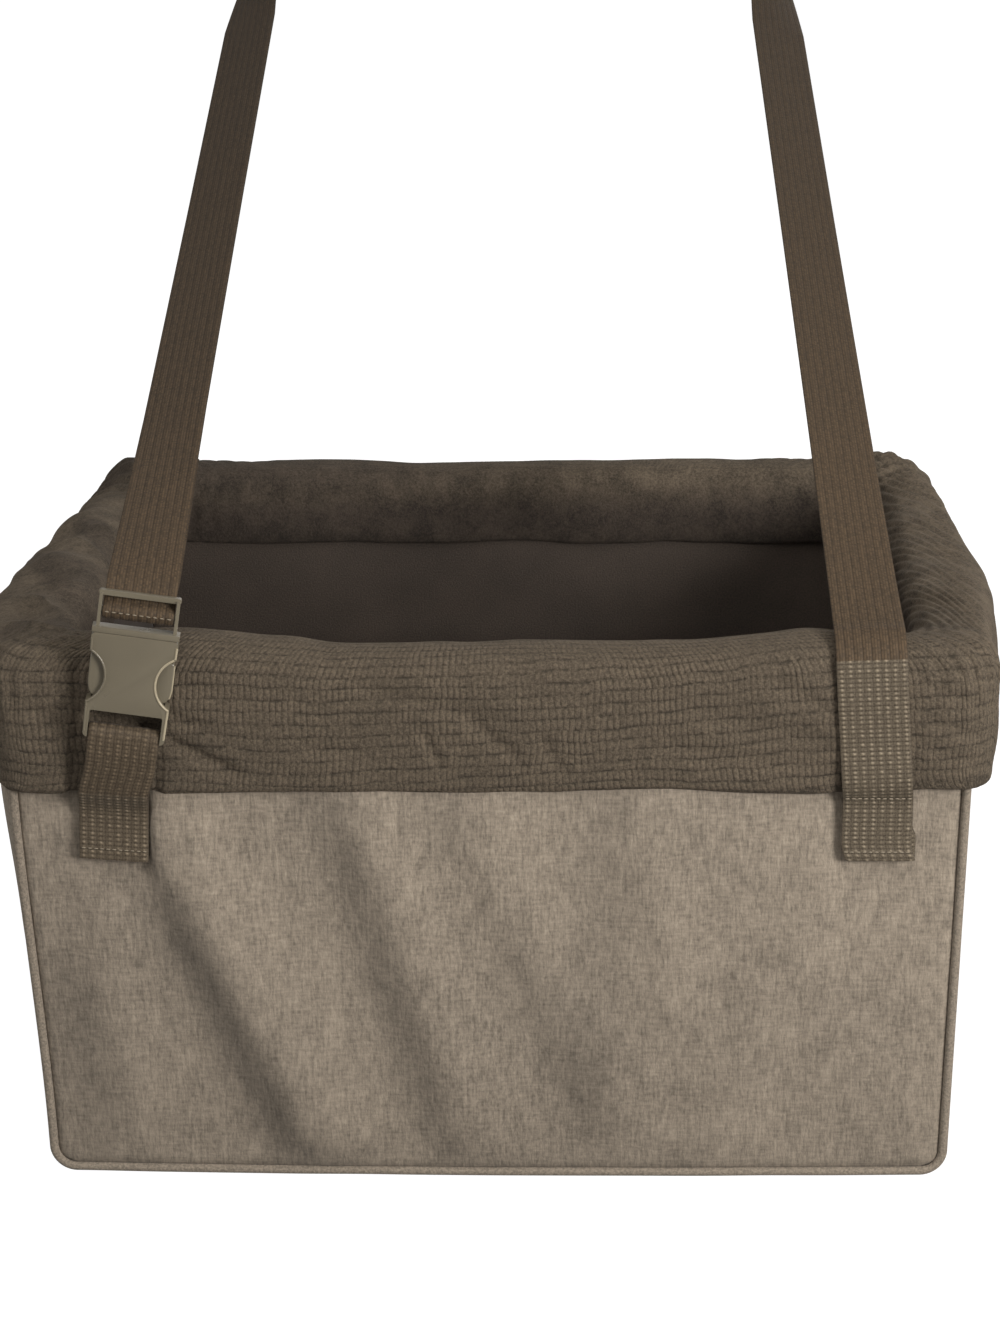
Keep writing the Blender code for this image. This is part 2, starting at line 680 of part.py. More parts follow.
def collar():
    loops = []
    for reference, out, z, radius, rise, gather in collar_profile():
        if reference == "cover":
            half_x, half_y = half_width(z) + out, HALF_DEPTH + out
            half_x += COLLAR_SIDE_PADDING * (1 if out > RIM_CLEARANCE else 0) * gather
        else:
            half_x, half_y = lining_x(z) - LINING_THICKNESS + out, LINING_INNER_Y + out
        inwards = -1 if reference == "lining" else 1
        loop = []
        for x, y in rounded_rectangle(half_x, half_y, radius):
            from_middle = Vector((x / half_x, y / half_y)).normalized()
            stand = PLEAT_DEPTH * gather * pleats(x, y, half_x, half_y) * inwards
            swell = 0.0
            if reference == "cover" and out > 0:
                swell = side_swell(y, z) * smooth_step(0.5, 1, abs(x) / half_x)
            across = x + from_middle.x * stand + math.copysign(swell, x)
            across += plan_change(x, y, half_x, gather if reference == "cover" else 0, rise)
            loop.append((across, y + from_middle.y * stand, z + rise * crest_change(x, y)))
        loops.append(loop)
    return add_object("collar", stack_of_loops(loops, closed=True), ribbed_plush())


# Cushion

def cushion():
    """A pad with a crown, and sides drawn in between its corners."""
    bulge = COLLAR_PADDING + PLEAT_DEPTH
    narrowest = min(lining_x(WALL_TOP) - bulge, lining_x(FLOOR_TOP_Z))
    half_x = narrowest - LINING_THICKNESS - CUSHION_SIDE_PLAY
    half_y = LINING_INNER_Y - bulge - CUSHION_END_PLAY
    rows = [(0.10, 0), (0.6, 0), (0.975, 0)]
    rows += [(1.0, 0.25 * CUSHION_EDGE), (1.0, 0.75 * CUSHION_EDGE), (0.975, CUSHION_EDGE)]
    for share in (0.90, 0.78, 0.62, 0.42, 0.10):
        rows.append((share, CUSHION_EDGE + (CUSHION_CROWN - CUSHION_EDGE) * (1 - share**2) ** 0.5))
    loops = []
    for share, rise in rows:
        loop = []
        for x, y in rounded_rectangle(half_x, half_y, CUSHION_CORNER_RADIUS, 4, 8, 6):
            x -= CUSHION_SIDES_DRAWN_IN * max(0.0, 1 - (y / half_y) ** 2) * x / half_x
            y -= CUSHION_SIDES_DRAWN_IN * max(0.0, 1 - (x / half_x) ** 2) * y / half_y
            loop.append((x * share, y * share, CUSHION_BASE_Z + rise))
        loops.append(loop)
    return add_object("floor_cushion", stack_of_loops(loops, closed=False), ribbed_plush())


# Buckle

def buckle_frame():
    """The matrix from the buckle's own u, v and n to the seat."""
    up = Vector((math.sin(BUCKLE_LEAN), math.sin(BUCKLE_TILT_BACK), math.cos(BUCKLE_LEAN)))
    up.normalize()
    front = Vector((math.sin(BUCKLE_TURN), -math.cos(BUCKLE_TURN), 0))
    front = (front - up * front.dot(up)).normalized()
    across = up.cross(front)
    matrix = Matrix((across, up, front)).transposed().to_4x4()
    matrix.translation = BUCKLE_BASE
    return matrix


def rounded_outline(half_u, low_v, high_v, radius, steps=3):
    """Anticlockwise outline of a plate with rounded corners."""
    points = []
    corners = ((half_u, high_v, 0), (-half_u, high_v, 90), (-half_u, low_v, 180), (half_u, low_v, 270))
    for u, v, start in corners:
        centre = (u - math.copysign(radius, u), v - radius if v == high_v else v + radius)
        points += arc(centre, radius, start, start + 90, steps)
    return points


def on_buckle(thing, carrier):
    """Hangs a piece that is modelled in the buckle's frame on its empty."""
    thing.parent = carrier
    return thing


def bite_shift():
    """How far the socket's flared sides stand out at the middle of its bites."""
    return SOCKET_FLARE * BITE_CENTRE / SOCKET_LENGTH


def bite_rims(radius, half_n):
    """The thin raised lips along the two C-shaped bites of the socket's front."""
    rims = []
    for side in (-1, 1):
        from_edge = radius - BITE_DEPTH
        centre = (side * (BUCKLE_WIDTH / 2 + bite_shift() + from_edge), BITE_CENTRE)
        outer = radius + BITE_RIM_WIDTH
        reach = math.degrees(math.acos((from_edge + 2 * BITE_RIM_HEIGHT) / outer))
        middle = 180 if side > 0 else 0
        lip = arc(centre, outer, middle - reach, middle + reach, 14)
        lip += arc(centre, radius - BITE_RIM_HEIGHT, middle + reach, middle - reach, 14)
        rims.append(extruded(lip, half_n - BITE_RIM_HEIGHT, half_n + BITE_RIM_HEIGHT))
    return rims


def socket(carrier):
    half_u, half_n = BUCKLE_WIDTH / 2, BUCKLE_THICKNESS / 2
    outline = rounded_outline(half_u, 0, SOCKET_LENGTH, 0.0022)
    outline = [(u + math.copysign(SOCKET_FLARE * v / SOCKET_LENGTH, u), v) for u, v in outline]
    form = bevelled(extruded(outline, -half_n, half_n), BUCKLE_BEVEL)
    body = on_buckle(add_object("buckle_socket", form, buckle_plastic()), carrier)
    window_u = WEBBING_WIDTH / 2 + FIT
    opening = rounded_outline(window_u, END_BAR, WEBBING_WINDOW_TOP, 0.0008, 2)
    window = extruded(opening, -2 * half_n, 2 * half_n)
    cavity_u, cavity_n = half_u - THROAT_WALL, half_n - SHELL_WALL
    cavity = box((-cavity_u, CAVITY_FLOOR, -cavity_n), (cavity_u, SOCKET_LENGTH * 1.1, cavity_n))
    cuts = [("socket_window", window), ("socket_cavity", cavity)]
    for side in (-1, 1):
        near, far = sorted((side * END_BAR / 2, side * 2 * half_n))
        recess = box((-window_u, -END_BAR, near), (window_u, 2 * END_BAR, far))
        cuts.append((f"socket_end_recess_{side}", recess))
    radius = ((BITE_HEIGHT / 2) ** 2 + BITE_DEPTH**2) / (2 * BITE_DEPTH)
    for k, form in enumerate(bite_rims(radius, half_n)):
        rim = on_buckle(add_object(f"socket_bite_rim_{k}", form, buckle_plastic()), carrier)
        boolean(body, rim, "UNION")
    for side in (-1, 1):
        centre = (side * (half_u + bite_shift() + radius - BITE_DEPTH), BITE_CENTRE)
        circle = arc(centre, radius, 0, 345, 23)
        cuts.append((f"socket_bite_{side}", extruded(circle, -2 * half_n, 2 * half_n)))
    for name, form in cuts:
        cutter = on_buckle(add_object(name, form, buckle_plastic()), carrier)
        boolean(body, cutter, "DIFFERENCE")
    return body


def plug(carrier):
    """The plug's base, side rails, crossbar, ladder bar and centre guide."""
    half_u, half_n = BUCKLE_WIDTH / 2, BUCKLE_THICKNESS / 2
    base_v = SOCKET_LENGTH + PARTING_GAP
    rail_v = base_v + PLUG_BASE_HEIGHT
    reach = half_u + SOCKET_FLARE
    base = bevelled(box((-reach, base_v, -PLUG_REAR), (reach, rail_v, half_n)), BUCKLE_BEVEL / 2)
    body = on_buckle(add_object("buckle_plug", base, buckle_plastic()), carrier)
    parts = {}
    overlap = PLUG_BASE_HEIGHT / 2
    for side in (-1, 1):
        inner, outer = sorted((side * (half_u - RAIL_WIDTH), side * (half_u - RAIL_INSET)))
        low = (inner, rail_v - overlap, RAIL_INSET - PLUG_REAR)
        high = (outer, PLUG_END - CROSSBAR_HEIGHT / 2, PLUG_REAR - RAIL_INSET)
        parts[f"plug_rail_{side}"] = box(low, high)
    half_bar = CROSSBAR_THICKNESS / 2
    crossbar = box((-half_u, PLUG_END - CROSSBAR_HEIGHT, -half_bar), (half_u, PLUG_END, half_bar))
    bar_low, bar_high = (LADDER_BAR_AT + s * LADDER_BAR_HEIGHT / 2 for s in (-1, 1))
    reach = half_u - RAIL_WIDTH / 2
    ladder = box((-reach, bar_low, -LADDER_BAR_THICKNESS / 2), (reach, bar_high, LADDER_BAR_THICKNESS / 2))
    tip = 0.4 * GUIDE_WIDTH / 2
    root = GUIDE_WIDTH / 2
    guide = ((-tip, GUIDE_TIP), (tip, GUIDE_TIP), (root, GUIDE_TIP + root), (root, base_v + overlap),
             (-root, base_v + overlap), (-root, GUIDE_TIP + root))
    parts["plug_crossbar"] = bevelled(crossbar, BUCKLE_BEVEL / 2)
    parts["plug_ladder_bar"] = bevelled(ladder, BUCKLE_BEVEL)
    parts["plug_guide"] = extruded(guide, -GUIDE_THICKNESS / 2, GUIDE_THICKNESS / 2)
    for name, form in parts.items():
        boolean(body, on_buckle(add_object(name, form, buckle_plastic()), carrier), "UNION")
    return body


def prong_pivot(side):
    """Where a prong bends at its root, in the buckle's u and v."""
    half_u = BUCKLE_WIDTH / 2
    root_v = SOCKET_LENGTH + PARTING_GAP - SEAM_GAP - PRONG_ROOT_RADIUS
    return side * (half_u - THROAT_WALL - FIT - PRONG_ROOT_RADIUS), root_v


# The prong below its root, down its inner side, round its tip and up the edge that is pressed:
# how far in from that edge, and how far up the buckle.
PRONG_BLADE = (
    (0.00715, 0.0370), (0.00815, 0.0300), (0.00815, 0.0220), (0.00735, 0.0174), (0.00605, 0.0168),
    (0.00435, 0.0172), (0.0018, 0.0188), (0.0003, 0.0222), (0.0, 0.0260), (0.0, 0.0352),
)


def prong(name, side, carrier):
    """A latching prong: a slim arm, a catch under the throat and a wide pressing edge."""
    half_u = BUCKLE_WIDTH / 2
    pivot_u, pivot_v = prong_pivot(1)
    edge = half_u + bite_shift() - SEAM_GAP / 2
    arm = half_u - THROAT_WALL - FIT
    root = arc((pivot_u, pivot_v), PRONG_ROOT_RADIUS, 0, 180, 6)
    blade = [(edge - in_from_edge, v) for in_from_edge, v in PRONG_BLADE]
    catch = [(edge - 0.0004, PRONG_CATCH), (arm, PRONG_CATCH + 0.0003)]
    outline = root + blade + catch
    outline = [(side * (u - pivot_u), v - pivot_v) for u, v in outline]
    form = extruded(outline, -PRONG_THICKNESS / 2, PRONG_THICKNESS / 2)
    piece = on_buckle(add_object(name, form, buckle_plastic()), carrier)
    piece.location = (*prong_pivot(side), 0)
    return piece


# Straps

def across_front(lean):
    """The width direction of webbing that faces the front and leans by an angle."""
    return Vector((math.cos(lean), 0, -math.sin(lean)))


def patch_turn(x, steps=4):
    """The soft fold at the foot of a sewn patch, from its rear layer to its front layer."""
    centre = (PATCH_REAR_Y - FOLD_RADIUS, PATCH_BOTTOM_Z + HALF_WEBBING + FOLD_RADIUS)
    return [(x, y, z) for y, z in arc(centre, FOLD_RADIUS, 0, -180, steps)]


# Share of a strap's run from the rim to the headrest, and how far the webbing has turned there.
TWIST = ((0.0, 0), (0.2, 15), (0.5, 21), (0.8, 24), (0.92, 48), (1.0, 90))


def strap_run(start, side):
    """Stations from the rim to the far side of a corner round the headrest."""
    end = Vector((HEADREST_CENTRE_X + side * STRAP_TOP_X, RUN_END_Y, RUN_END_Z))
    along = (end - start).normalized()
    inwards = Vector((-side, 0, 0))
    edge_on = inwards.cross(along).normalized()
    flat = edge_on.cross(along).normalized() * side
    stations = []
    for share, degrees in TWIST:
        turn = math.radians(degrees)
        stations.append((start.lerp(end, share), flat * math.cos(turn) + edge_on * math.sin(turn)))
    for degrees in (30, 60, 90):
        turn = math.radians(degrees)
        bend = inwards * (1 - math.cos(turn)) + along * math.sin(turn)
        stations.append((end + bend * HEADREST_CORNER_RADIUS, edge_on))
    return stations


def left_run_start(matrix):
    """Where the strap leaves the plug for the headrest."""
    return matrix @ Vector((0, PLUG_END + 0.0042, -0.0095))


def headrest_strap(matrix):
    """The strap from its patch on the right, over the rim and round behind the headrest."""
    face_y = COLLAR_FRONT_Y - PLEAT_DEPTH / 4 - FIT - HALF_WEBBING
    straight, lean = across_front(0), across_front(math.radians(-2))
    crest = CREST_Z + CREST_LIFT_AT_STRAPS
    stations = [((PATCH_X, PATCH_REAR_Y, OUTER_HEM_Z - 0.0025), straight)]
    stations += [(point, straight) for point in patch_turn(PATCH_X)]
    stations += [
        ((PATCH_X, PATCH_FRONT_Y, PATCH_BOTTOM_Z + 5 * FOLD_RADIUS), straight),
        ((PATCH_X, PATCH_FRONT_Y, OUTER_HEM_Z - 0.0110), straight),
        ((PATCH_X, PATCH_FRONT_Y - 2 * LAYER_GAP, OUTER_HEM_Z - 0.0030), straight),
        ((PATCH_X - 0.0006, face_y, OUTER_HEM_Z + 0.0050), lean),
        ((PATCH_X - 0.0020, face_y, OUTER_HEM_Z + 0.0250), lean),
        ((PATCH_X - 0.0036, face_y, CREST_Z - 0.0130), lean),
        ((PATCH_X - 0.0043, face_y + COLLAR_PADDING / 4, CREST_Z + 0.0010), lean),
        ((PATCH_X - 0.0047, -HALF_DEPTH + 0.0010, crest + 0.0022), lean),
    ]
    stations += strap_run(RIGHT_RUN_START, 1)
    meets, edge_on = strap_run(left_run_start(matrix), -1)[-1]
    stations.append((Vector((STRAPS_JOIN_X + 2 * SEAM_GAP, meets.y, meets.z)), -edge_on))
    return add_object("headrest_strap", ribbon(stations), webbing_brown())


def strap_buckle_run(matrix):
    """The strap from behind the headrest down to the plug, round its ladder bar, and its tail."""
    def at(v, n):
        return matrix @ Vector((0, v, n))

    on_plug = matrix.col[0].xyz
    gap = HALF_WEBBING + LAYER_GAP
    round_n = LADDER_BAR_THICKNESS / 2 + gap
    round_v = LADDER_BAR_HEIGHT / 2 + gap
    behind = PLUG_REAR + gap + 0.0003
    run_start = left_run_start(matrix)
    run = strap_run(run_start, -1)
    start = Vector((STRAPS_JOIN_X, run[-1][0].y, run[-1][0].z))
    stations = [(start, run[-1][1]), *reversed(run[1:]), (run_start, on_plug)]
    stations += [
        (at(PLUG_END + 0.0012, -behind - 0.0022), on_plug),
        (at(PLUG_END - 0.0012, -behind), on_plug),
        (at(LADDER_BAR_AT + round_v + 0.0012, -round_n * 0.55), on_plug),
        (at(LADDER_BAR_AT + round_v * 0.72, round_n * 0.80), on_plug),
        (at(LADDER_BAR_AT, round_n * 1.15), on_plug),
        (at(LADDER_BAR_AT - round_v * 0.72, round_n * 0.80), on_plug),
        (at(LADDER_BAR_AT - round_v - 0.0006, -round_n * 0.70), on_plug),
        (at(LADDER_BAR_AT - round_v + 0.0010, -behind - 0.0016), on_plug),
        (at(LADDER_BAR_AT + 0.0035, -behind - 0.0030), on_plug),
        (at(PLUG_END - 0.0016, -behind - 0.0036), on_plug),
    ]
    run_end = run[5][0]
    along = (run_end - run_start).normalized()
    below = Vector((0, along.z, -along.y)).normalized() * (WEBBING_THICKNESS + 3 * LAYER_GAP)
    for share in (0.06, 0.5, 1.0):
        distance = TAIL_LENGTH * share
        first_turn = (run_end - run_start).length * TWIST[1][0]
        turned = on_plug.lerp(run[1][1], distance / first_turn)
        stations.append((run_start + along * distance + below, turned))
    return add_object("strap_buckle_run", ribbon(stations, 0.015), webbing_brown())


def buckle_loop(matrix):
    """The short webbing loop from the left patch round the socket's end bar and back."""
    def at(v, n):
        return matrix @ Vector((0, v, n))

    slight = across_front(math.radians(4))
    leaning = matrix.col[0].xyz
    centre_v = END_BAR / 2
    wrap = centre_v * math.sqrt(2) + LAYER_GAP + HALF_WEBBING + 0.0001
    face_y = COLLAR_FRONT_Y - FIT - HALF_WEBBING
    front_y = face_y - WEBBING_THICKNESS - 2 * LAYER_GAP
    x = -PATCH_X + 0.0022
    stations = [
        ((x - 0.0008, PATCH_REAR_Y, PATCH_BOTTOM_Z + 0.0020), slight),
        ((x, PATCH_REAR_Y, OUTER_HEM_Z - 0.0075), slight),
        ((x + 0.0010, face_y, OUTER_HEM_Z + 0.0015), slight),
        (at(-0.0120, -wrap * 0.95), leaning),
        *((at(v, n), leaning) for n, v in arc((0, centre_v), wrap, 180, 0, 6)),
        (at(-0.0050, wrap * 0.80), leaning),
        (at(-0.0130, wrap * 0.10), leaning),
        ((x + 0.0010, front_y, OUTER_HEM_Z + 0.0015), slight),
        ((x, PATCH_FRONT_Y - 0.0003, OUTER_HEM_Z - 0.0085), slight),
        ((x - 0.0010, PATCH_FRONT_Y - 0.0003, PATCH_BOTTOM_Z), slight),
    ]
    return add_object("buckle_loop", ribbon(stations), webbing_brown())


def main():
    clear_scene()
    end_panel("front_panel", -1, front_relief, 20, 11)
    end_panel("back_panel", 1, lambda x, z: 0.0, 2, 2)
    side_panel("left_panel", -1)
    side_panel("right_panel", 1)
    bottom_panel()
    piping("front_piping", -1)
    piping("back_piping", 1)
    lining_end("lining_front", -1)
    lining_end("lining_back", 1)
    lining_side("lining_left", -1)
    lining_side("lining_right", 1)
    lining_floor()
    base_board()
    frame()
    collar()
    cushion()
    carrier = bpy.data.objects.new("buckle_axes", None)
    bpy.context.scene.collection.objects.link(carrier)
    carrier.matrix_world = buckle_frame()
    socket(carrier)
    plug(carrier)
    prong("prong_left", -1, carrier)
    prong("prong_right", 1, carrier)
    headrest_strap(buckle_frame())
    strap_buckle_run(buckle_frame())
    buckle_loop(buckle_frame())


main()
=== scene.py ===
"""Dresses a small dog's booster seat: woven cover, plush collar, lining, cushion, webbing and buckle.

Metres, +Z up, +X to the viewer's right, +Y towards the seat back, origin in the middle of the base.
"""

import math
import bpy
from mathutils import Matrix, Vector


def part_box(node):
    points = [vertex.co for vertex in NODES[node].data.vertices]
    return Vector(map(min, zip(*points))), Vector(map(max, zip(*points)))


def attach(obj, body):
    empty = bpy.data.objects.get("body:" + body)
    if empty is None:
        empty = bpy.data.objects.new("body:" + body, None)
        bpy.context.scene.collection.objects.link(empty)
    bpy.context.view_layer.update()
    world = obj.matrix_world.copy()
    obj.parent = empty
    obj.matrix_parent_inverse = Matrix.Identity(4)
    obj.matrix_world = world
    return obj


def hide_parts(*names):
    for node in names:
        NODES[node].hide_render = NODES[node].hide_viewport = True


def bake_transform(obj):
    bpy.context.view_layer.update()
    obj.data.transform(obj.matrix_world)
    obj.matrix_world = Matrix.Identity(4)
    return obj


bl_info = {
    "name": "Booster seat dressing",
    "version": (1, 0, 0),
    "blender": (4, 5, 0),
    "location": "View3D > Sidebar > Booster seat",
    "description": "Builds the soft parts, webbing, buckle and stage of a small dog's booster seat",
    "category": "Object",
}

import bmesh
import bpy
import numpy as np
from bpy.props import FloatProperty, FloatVectorProperty, IntProperty, PointerProperty
from mathutils import Matrix, Vector

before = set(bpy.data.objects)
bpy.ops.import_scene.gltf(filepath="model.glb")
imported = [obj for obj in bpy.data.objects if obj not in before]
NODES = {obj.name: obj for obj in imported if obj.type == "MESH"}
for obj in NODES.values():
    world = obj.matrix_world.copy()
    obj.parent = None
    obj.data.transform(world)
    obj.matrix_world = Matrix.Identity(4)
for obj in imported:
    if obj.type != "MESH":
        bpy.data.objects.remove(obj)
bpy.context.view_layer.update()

# Sizes of the solids that the soft parts follow
HALF_DEPTH = 0.150
WALL_TOP = 0.238
TOP_HALF_WIDTH, BASE_HALF_WIDTH = 0.207, 0.200
BASE_RADIUS = 0.012
BASE_PANEL_HALF = (0.1878, 0.1463)
SEAM_INSET = 0.0030
OUTER_HEM_Z = 0.183
CREST_Z = 0.2450
CREST_LIFT, CREST_LIFT_AT_REAR = 0.0060, 0.0055
COLLAR_FRONT_Y = -0.15735
PIPING_RADIUS, PIPING_OUT = 0.0020, 0.0008
LINING_Y = 0.1309
LINING_THICKNESS = 0.0012
LINING_FLOOR_Z, LINING_FLOOR_HALF = 0.0066, (0.1785, 0.1290)
WEBBING_HALF, WEBBING_THICKNESS = 0.015, 0.0014
LAYER_GAP = 0.0003
PATCH_X, PATCH_BOTTOM_Z = 0.165, 0.152
PATCH_REAR_Y, PATCH_FRONT_Y = -0.1526, -0.1543
FOLD_RADIUS = 0.0014
STRAP_TOP_X = 0.137
HEADREST_CENTRE_X, HEADREST_RADIUS = -0.0036, 0.028
RIGHT_RUN_START = Vector((0.160, -0.140, 0.2560))
RUN_END_Y, RUN_END_Z = 0.405, 0.4938
STRAPS_JOIN_X = -0.095
TAIL_LENGTH = 0.085
BEND_DEGREES = (30, 60, 90)
# The strap's turn about its run: share of the run, degrees
TWIST = ((0.0, 0), (0.2, 15), (0.5, 21), (0.8, 24), (0.92, 48), (1.0, 90))
STITCH_PITCH, STITCH_LENGTH, THREAD = 0.0026, 0.0019, 0.00055
STITCHES_HALF = 0.0132

# Buckle, in its own frame: u across, v up towards the strap, n to the front
BUCKLE_BASE = Vector((-0.1555, -0.16485, 0.2117))
BUCKLE_LEAN = math.radians(9.0)
BUCKLE_TURN = math.radians(4)
BUCKLE_TILT = math.radians(1.5)
BUCKLE_HALF, BUCKLE_HALF_THICK = 0.0173, 0.0045
SOCKET_LENGTH, SOCKET_FLARE = 0.0464, 0.0011
PLUG_END = 0.0644
END_BAR, WINDOW_TOP = 0.0031, 0.0122
CAVITY_FLOOR = 0.0137
THROAT_WALL, SHELL_WALL = 0.0016, 0.0017
BITE_CENTRE, BITE_RADIUS, BITE_DEPTH = 0.0270, 0.0123, 0.0068
BITE_SHIFT = SOCKET_FLARE * BITE_CENTRE / SOCKET_LENGTH
PLUG_BASE_V, PLUG_BASE_TOP, PLUG_REAR = 0.0466, 0.0490, 0.0026
RAIL_WIDTH, RAIL_INSET = 0.0018, 0.00035
CROSSBAR = 0.0022
LADDER_BAR_AT = 0.0554
LADDER_HALF_V, LADDER_HALF_N = 0.0017, 0.0013
PRONG_EDGE = BUCKLE_HALF + BITE_SHIFT - 0.00015
PRONG_ROOT_RADIUS, PRONG_ROOT_V = 0.0017, 0.0448
PRONG_REAR, PRONG_FRONT = -0.0025, 0.0027
SOCKET_BEVEL, PLUG_BEVEL = 0.00070, 0.00040
SOCKET_LIP, PRONG_LIP = 0.00055, 0.00045


# Settings that a user may change

def length(name, description, default):
    return FloatProperty(name=name, description=description, default=default, unit="LENGTH", precision=5)


def colour(name, description, levels):
    """A colour property from sRGB levels of 0 to 255."""
    return FloatVectorProperty(name=name, description=description, subtype="COLOR", min=0, max=1,
                               default=[linear(level) for level in levels])


def linear(level):
    value = level / 255
    return value / 12.92 if value <= 0.04045 else ((value + 0.055) / 1.055) ** 2.4


class BoosterColours(bpy.types.PropertyGroup):
    """The colours of the seat's materials."""

    cover: colour("Cover", "Woven polyester of the basket", (149, 137, 122))
    plush: colour("Plush", "Ribbed plush of the collar and cushion", (98, 87, 73))
    lining: colour("Lining", "Woven lining", (72, 62, 54))
    webbing: colour("Webbing", "Straps", (80, 64, 45))
    buckle: colour("Buckle", "Moulded buckle", (120, 112, 95))
    thread: colour("Thread", "Sewing thread of the patches", (150, 138, 118))


class BoosterCover(bpy.types.PropertyGroup):
    """The sizes of the woven cover."""

    thickness: length("Thickness", "Thickness of the cover's cloth", 0.0014)
    fold_share: FloatProperty(name="Folds", description="Share of the front's folds", default=1.0, min=0, max=2)
    bow: length("Bow", "How far the front stands out along its middle", 0.0035)
    left_swell: length("Left swell", "How far the slack left wall stands out", 0.0130)
    right_swell: length("Right swell", "How far the right wall stands out", 0.0050)
    left_lean: length("Left lean", "How far the front's left edge leans out at the hem", 0.0040)


class BoosterCollar(bpy.types.PropertyGroup):
    """The sizes of the plush collar."""

    wale: length("Wale", "Height of one row of the plush", 0.0051)
    rib: length("Rib", "Width of one rib of the plush", 0.0024)
    pile: length("Pile", "Depth of the grooves", 0.00055)
    side_bulge: length("Side bulge", "How far the crest bulges at the sides", 0.0092)
    left_bulge: length("Left bulge", "How far the crest bulges by the left front corner", 0.0200)
    rear_draw: length("Rear corners", "How far the rear corners are drawn in", 0.0095)
    gather_pitch: length("Gathers", "Distance between the corner gathers", 0.0085)
    gather_depth: length("Gather depth", "Depth of the corner gathers", 0.0016)


class BoosterWebbing(bpy.types.PropertyGroup):
    """The sizes of the webbing's weave."""

    ribs: IntProperty(name="Ribs", description="Ribs across the webbing", default=8, min=2)
    rib_height: length("Rib height", "Height of the lengthwise ribs", 0.00012)
    coarse_pitch: length("Coarse pitch", "Distance between threads of the sewn lengths", 0.00205)
    coarse_height: length("Coarse height", "Height of the threads of the sewn lengths", 0.00032)


class BoosterStage(bpy.types.PropertyGroup):
    """The lights of the stage."""

    key: FloatProperty(name="Key", description="Power of the soft key light in watts", default=21)
    key_size: length("Key size", "Side of the key light", 0.5)
    fill: FloatProperty(name="Fill", description="Power of the soft light from above in watts", default=8)
    sky: FloatProperty(name="Sky", description="Strength of the even light", default=0.20)


# Numbers

def smooth_step(low, high, value):
    t = np.clip((value - low) / (high - low), 0, 1)
    return t * t * (3 - 2 * t)


def fall(low, high, value):
    return 1 - smooth_step(low, high, value)


def bell(value, width):
    """1 at 0, falling evenly to both sides."""
    return np.exp(-((value / width) ** 2))


def ripple(u, v, seed, round_u=0):
    """Even noise from -1 to 1 with unit cells, closed after round_u cells where that is given."""
    table = np.random.default_rng(seed).uniform(-1, 1, (256, 256))
    iu, iv = np.floor(u).astype(int), np.floor(v).astype(int)
    fu, fv = u - iu, v - iv
    fu, fv = fu * fu * (3 - 2 * fu), fv * fv * (3 - 2 * fv)

    def cell(a, b):
        return table[(a % round_u if round_u else a) % 256, b % 256]

    low = cell(iu, iv) * (1 - fu) + cell(iu + 1, iv) * fu
    high = cell(iu, iv + 1) * (1 - fu) + cell(iu + 1, iv + 1) * fu
    return low * (1 - fv) + high * fv


CREASE_FADE, FOLD_FADE = (0.75, 1.25), (0.85, 1.30)


def ridges(x, z, lines, fade_out=CREASE_FADE):
    """The height at (x, z) of soft ridges, each given by its two ends, its width, or that on its left
    and on its right, and its height."""
    height = np.zeros(np.broadcast(x, z).shape)
    for (x0, z0), (x1, z1), *widths, high in lines:
        run = math.hypot(x1 - x0, z1 - z0)
        along = ((x - x0) * (x1 - x0) + (z - z0) * (z1 - z0)) / run**2
        aside = ((x - x0) * (z0 - z1) + (z - z0) * (x1 - x0)) / run
        fade = smooth_step(-0.25, 0.25, along) * fall(*fade_out, along)
        height += high * fade * bell(aside, np.where(aside < 0, widths[0], widths[-1]))
    return height


def filled(value, like):
    """The value over the whole of an array's shape."""
    return value * np.ones_like(like)


def chosen(group):
    """The scene's settings of a group."""
    return getattr(bpy.context.scene, "booster_" + group)


def half_width(z):
    return BASE_HALF_WIDTH + (TOP_HALF_WIDTH - BASE_HALF_WIDTH) * z / WALL_TOP


def lining_x(z):
    """Half the lining's outer width at a height."""
    low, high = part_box("lining_right")
    foot = low.x + LINING_THICKNESS
    return foot + (high.x - foot) * (z - low.z) / (high.z - low.z)


def side_swell(y, z, side):
    """How far a side wall stands out: the left one is slack and full towards the hem."""
    settings = chosen("cover")
    edge = np.abs(y) / (HALF_DEPTH - PIPING_RADIUS)
    even = np.clip(1 - edge**2, 0, 1) * smooth_step(BASE_RADIUS, OUTER_HEM_Z * 0.8, z)
    full = np.clip(1 - edge**6, 0, 1) * smooth_step(0.045, OUTER_HEM_Z, z)
    fade = fall(OUTER_HEM_Z, WALL_TOP, z)
    return np.where(np.asarray(side) < 0, settings.left_swell * full, settings.right_swell * even) * fade


def corner_lean(y, z, side):
    """How far the cover's left edges lean out towards the front."""
    out = chosen("cover").left_lean * smooth_step(0.02, OUTER_HEM_Z, z)
    return np.where(np.asarray(side) < 0, out, 0.0) * fall(-HALF_DEPTH, HALF_DEPTH, y)


def on_curve(points, knots, t):
    """The point at t on the middle stretch of a curve through four points at their knots."""
    def between(a, b, i, j):
        span = knots[j] - knots[i]
        return a * ((knots[j] - t) / span) + b * ((t - knots[i]) / span)

    p0, p1, p2, p3 = points
    a1, a2, a3 = between(p0, p1, 0, 1), between(p1, p2, 1, 2), between(p2, p3, 2, 3)
    return between(between(a1, a2, 0, 2), between(a2, a3, 1, 3), 1, 2)


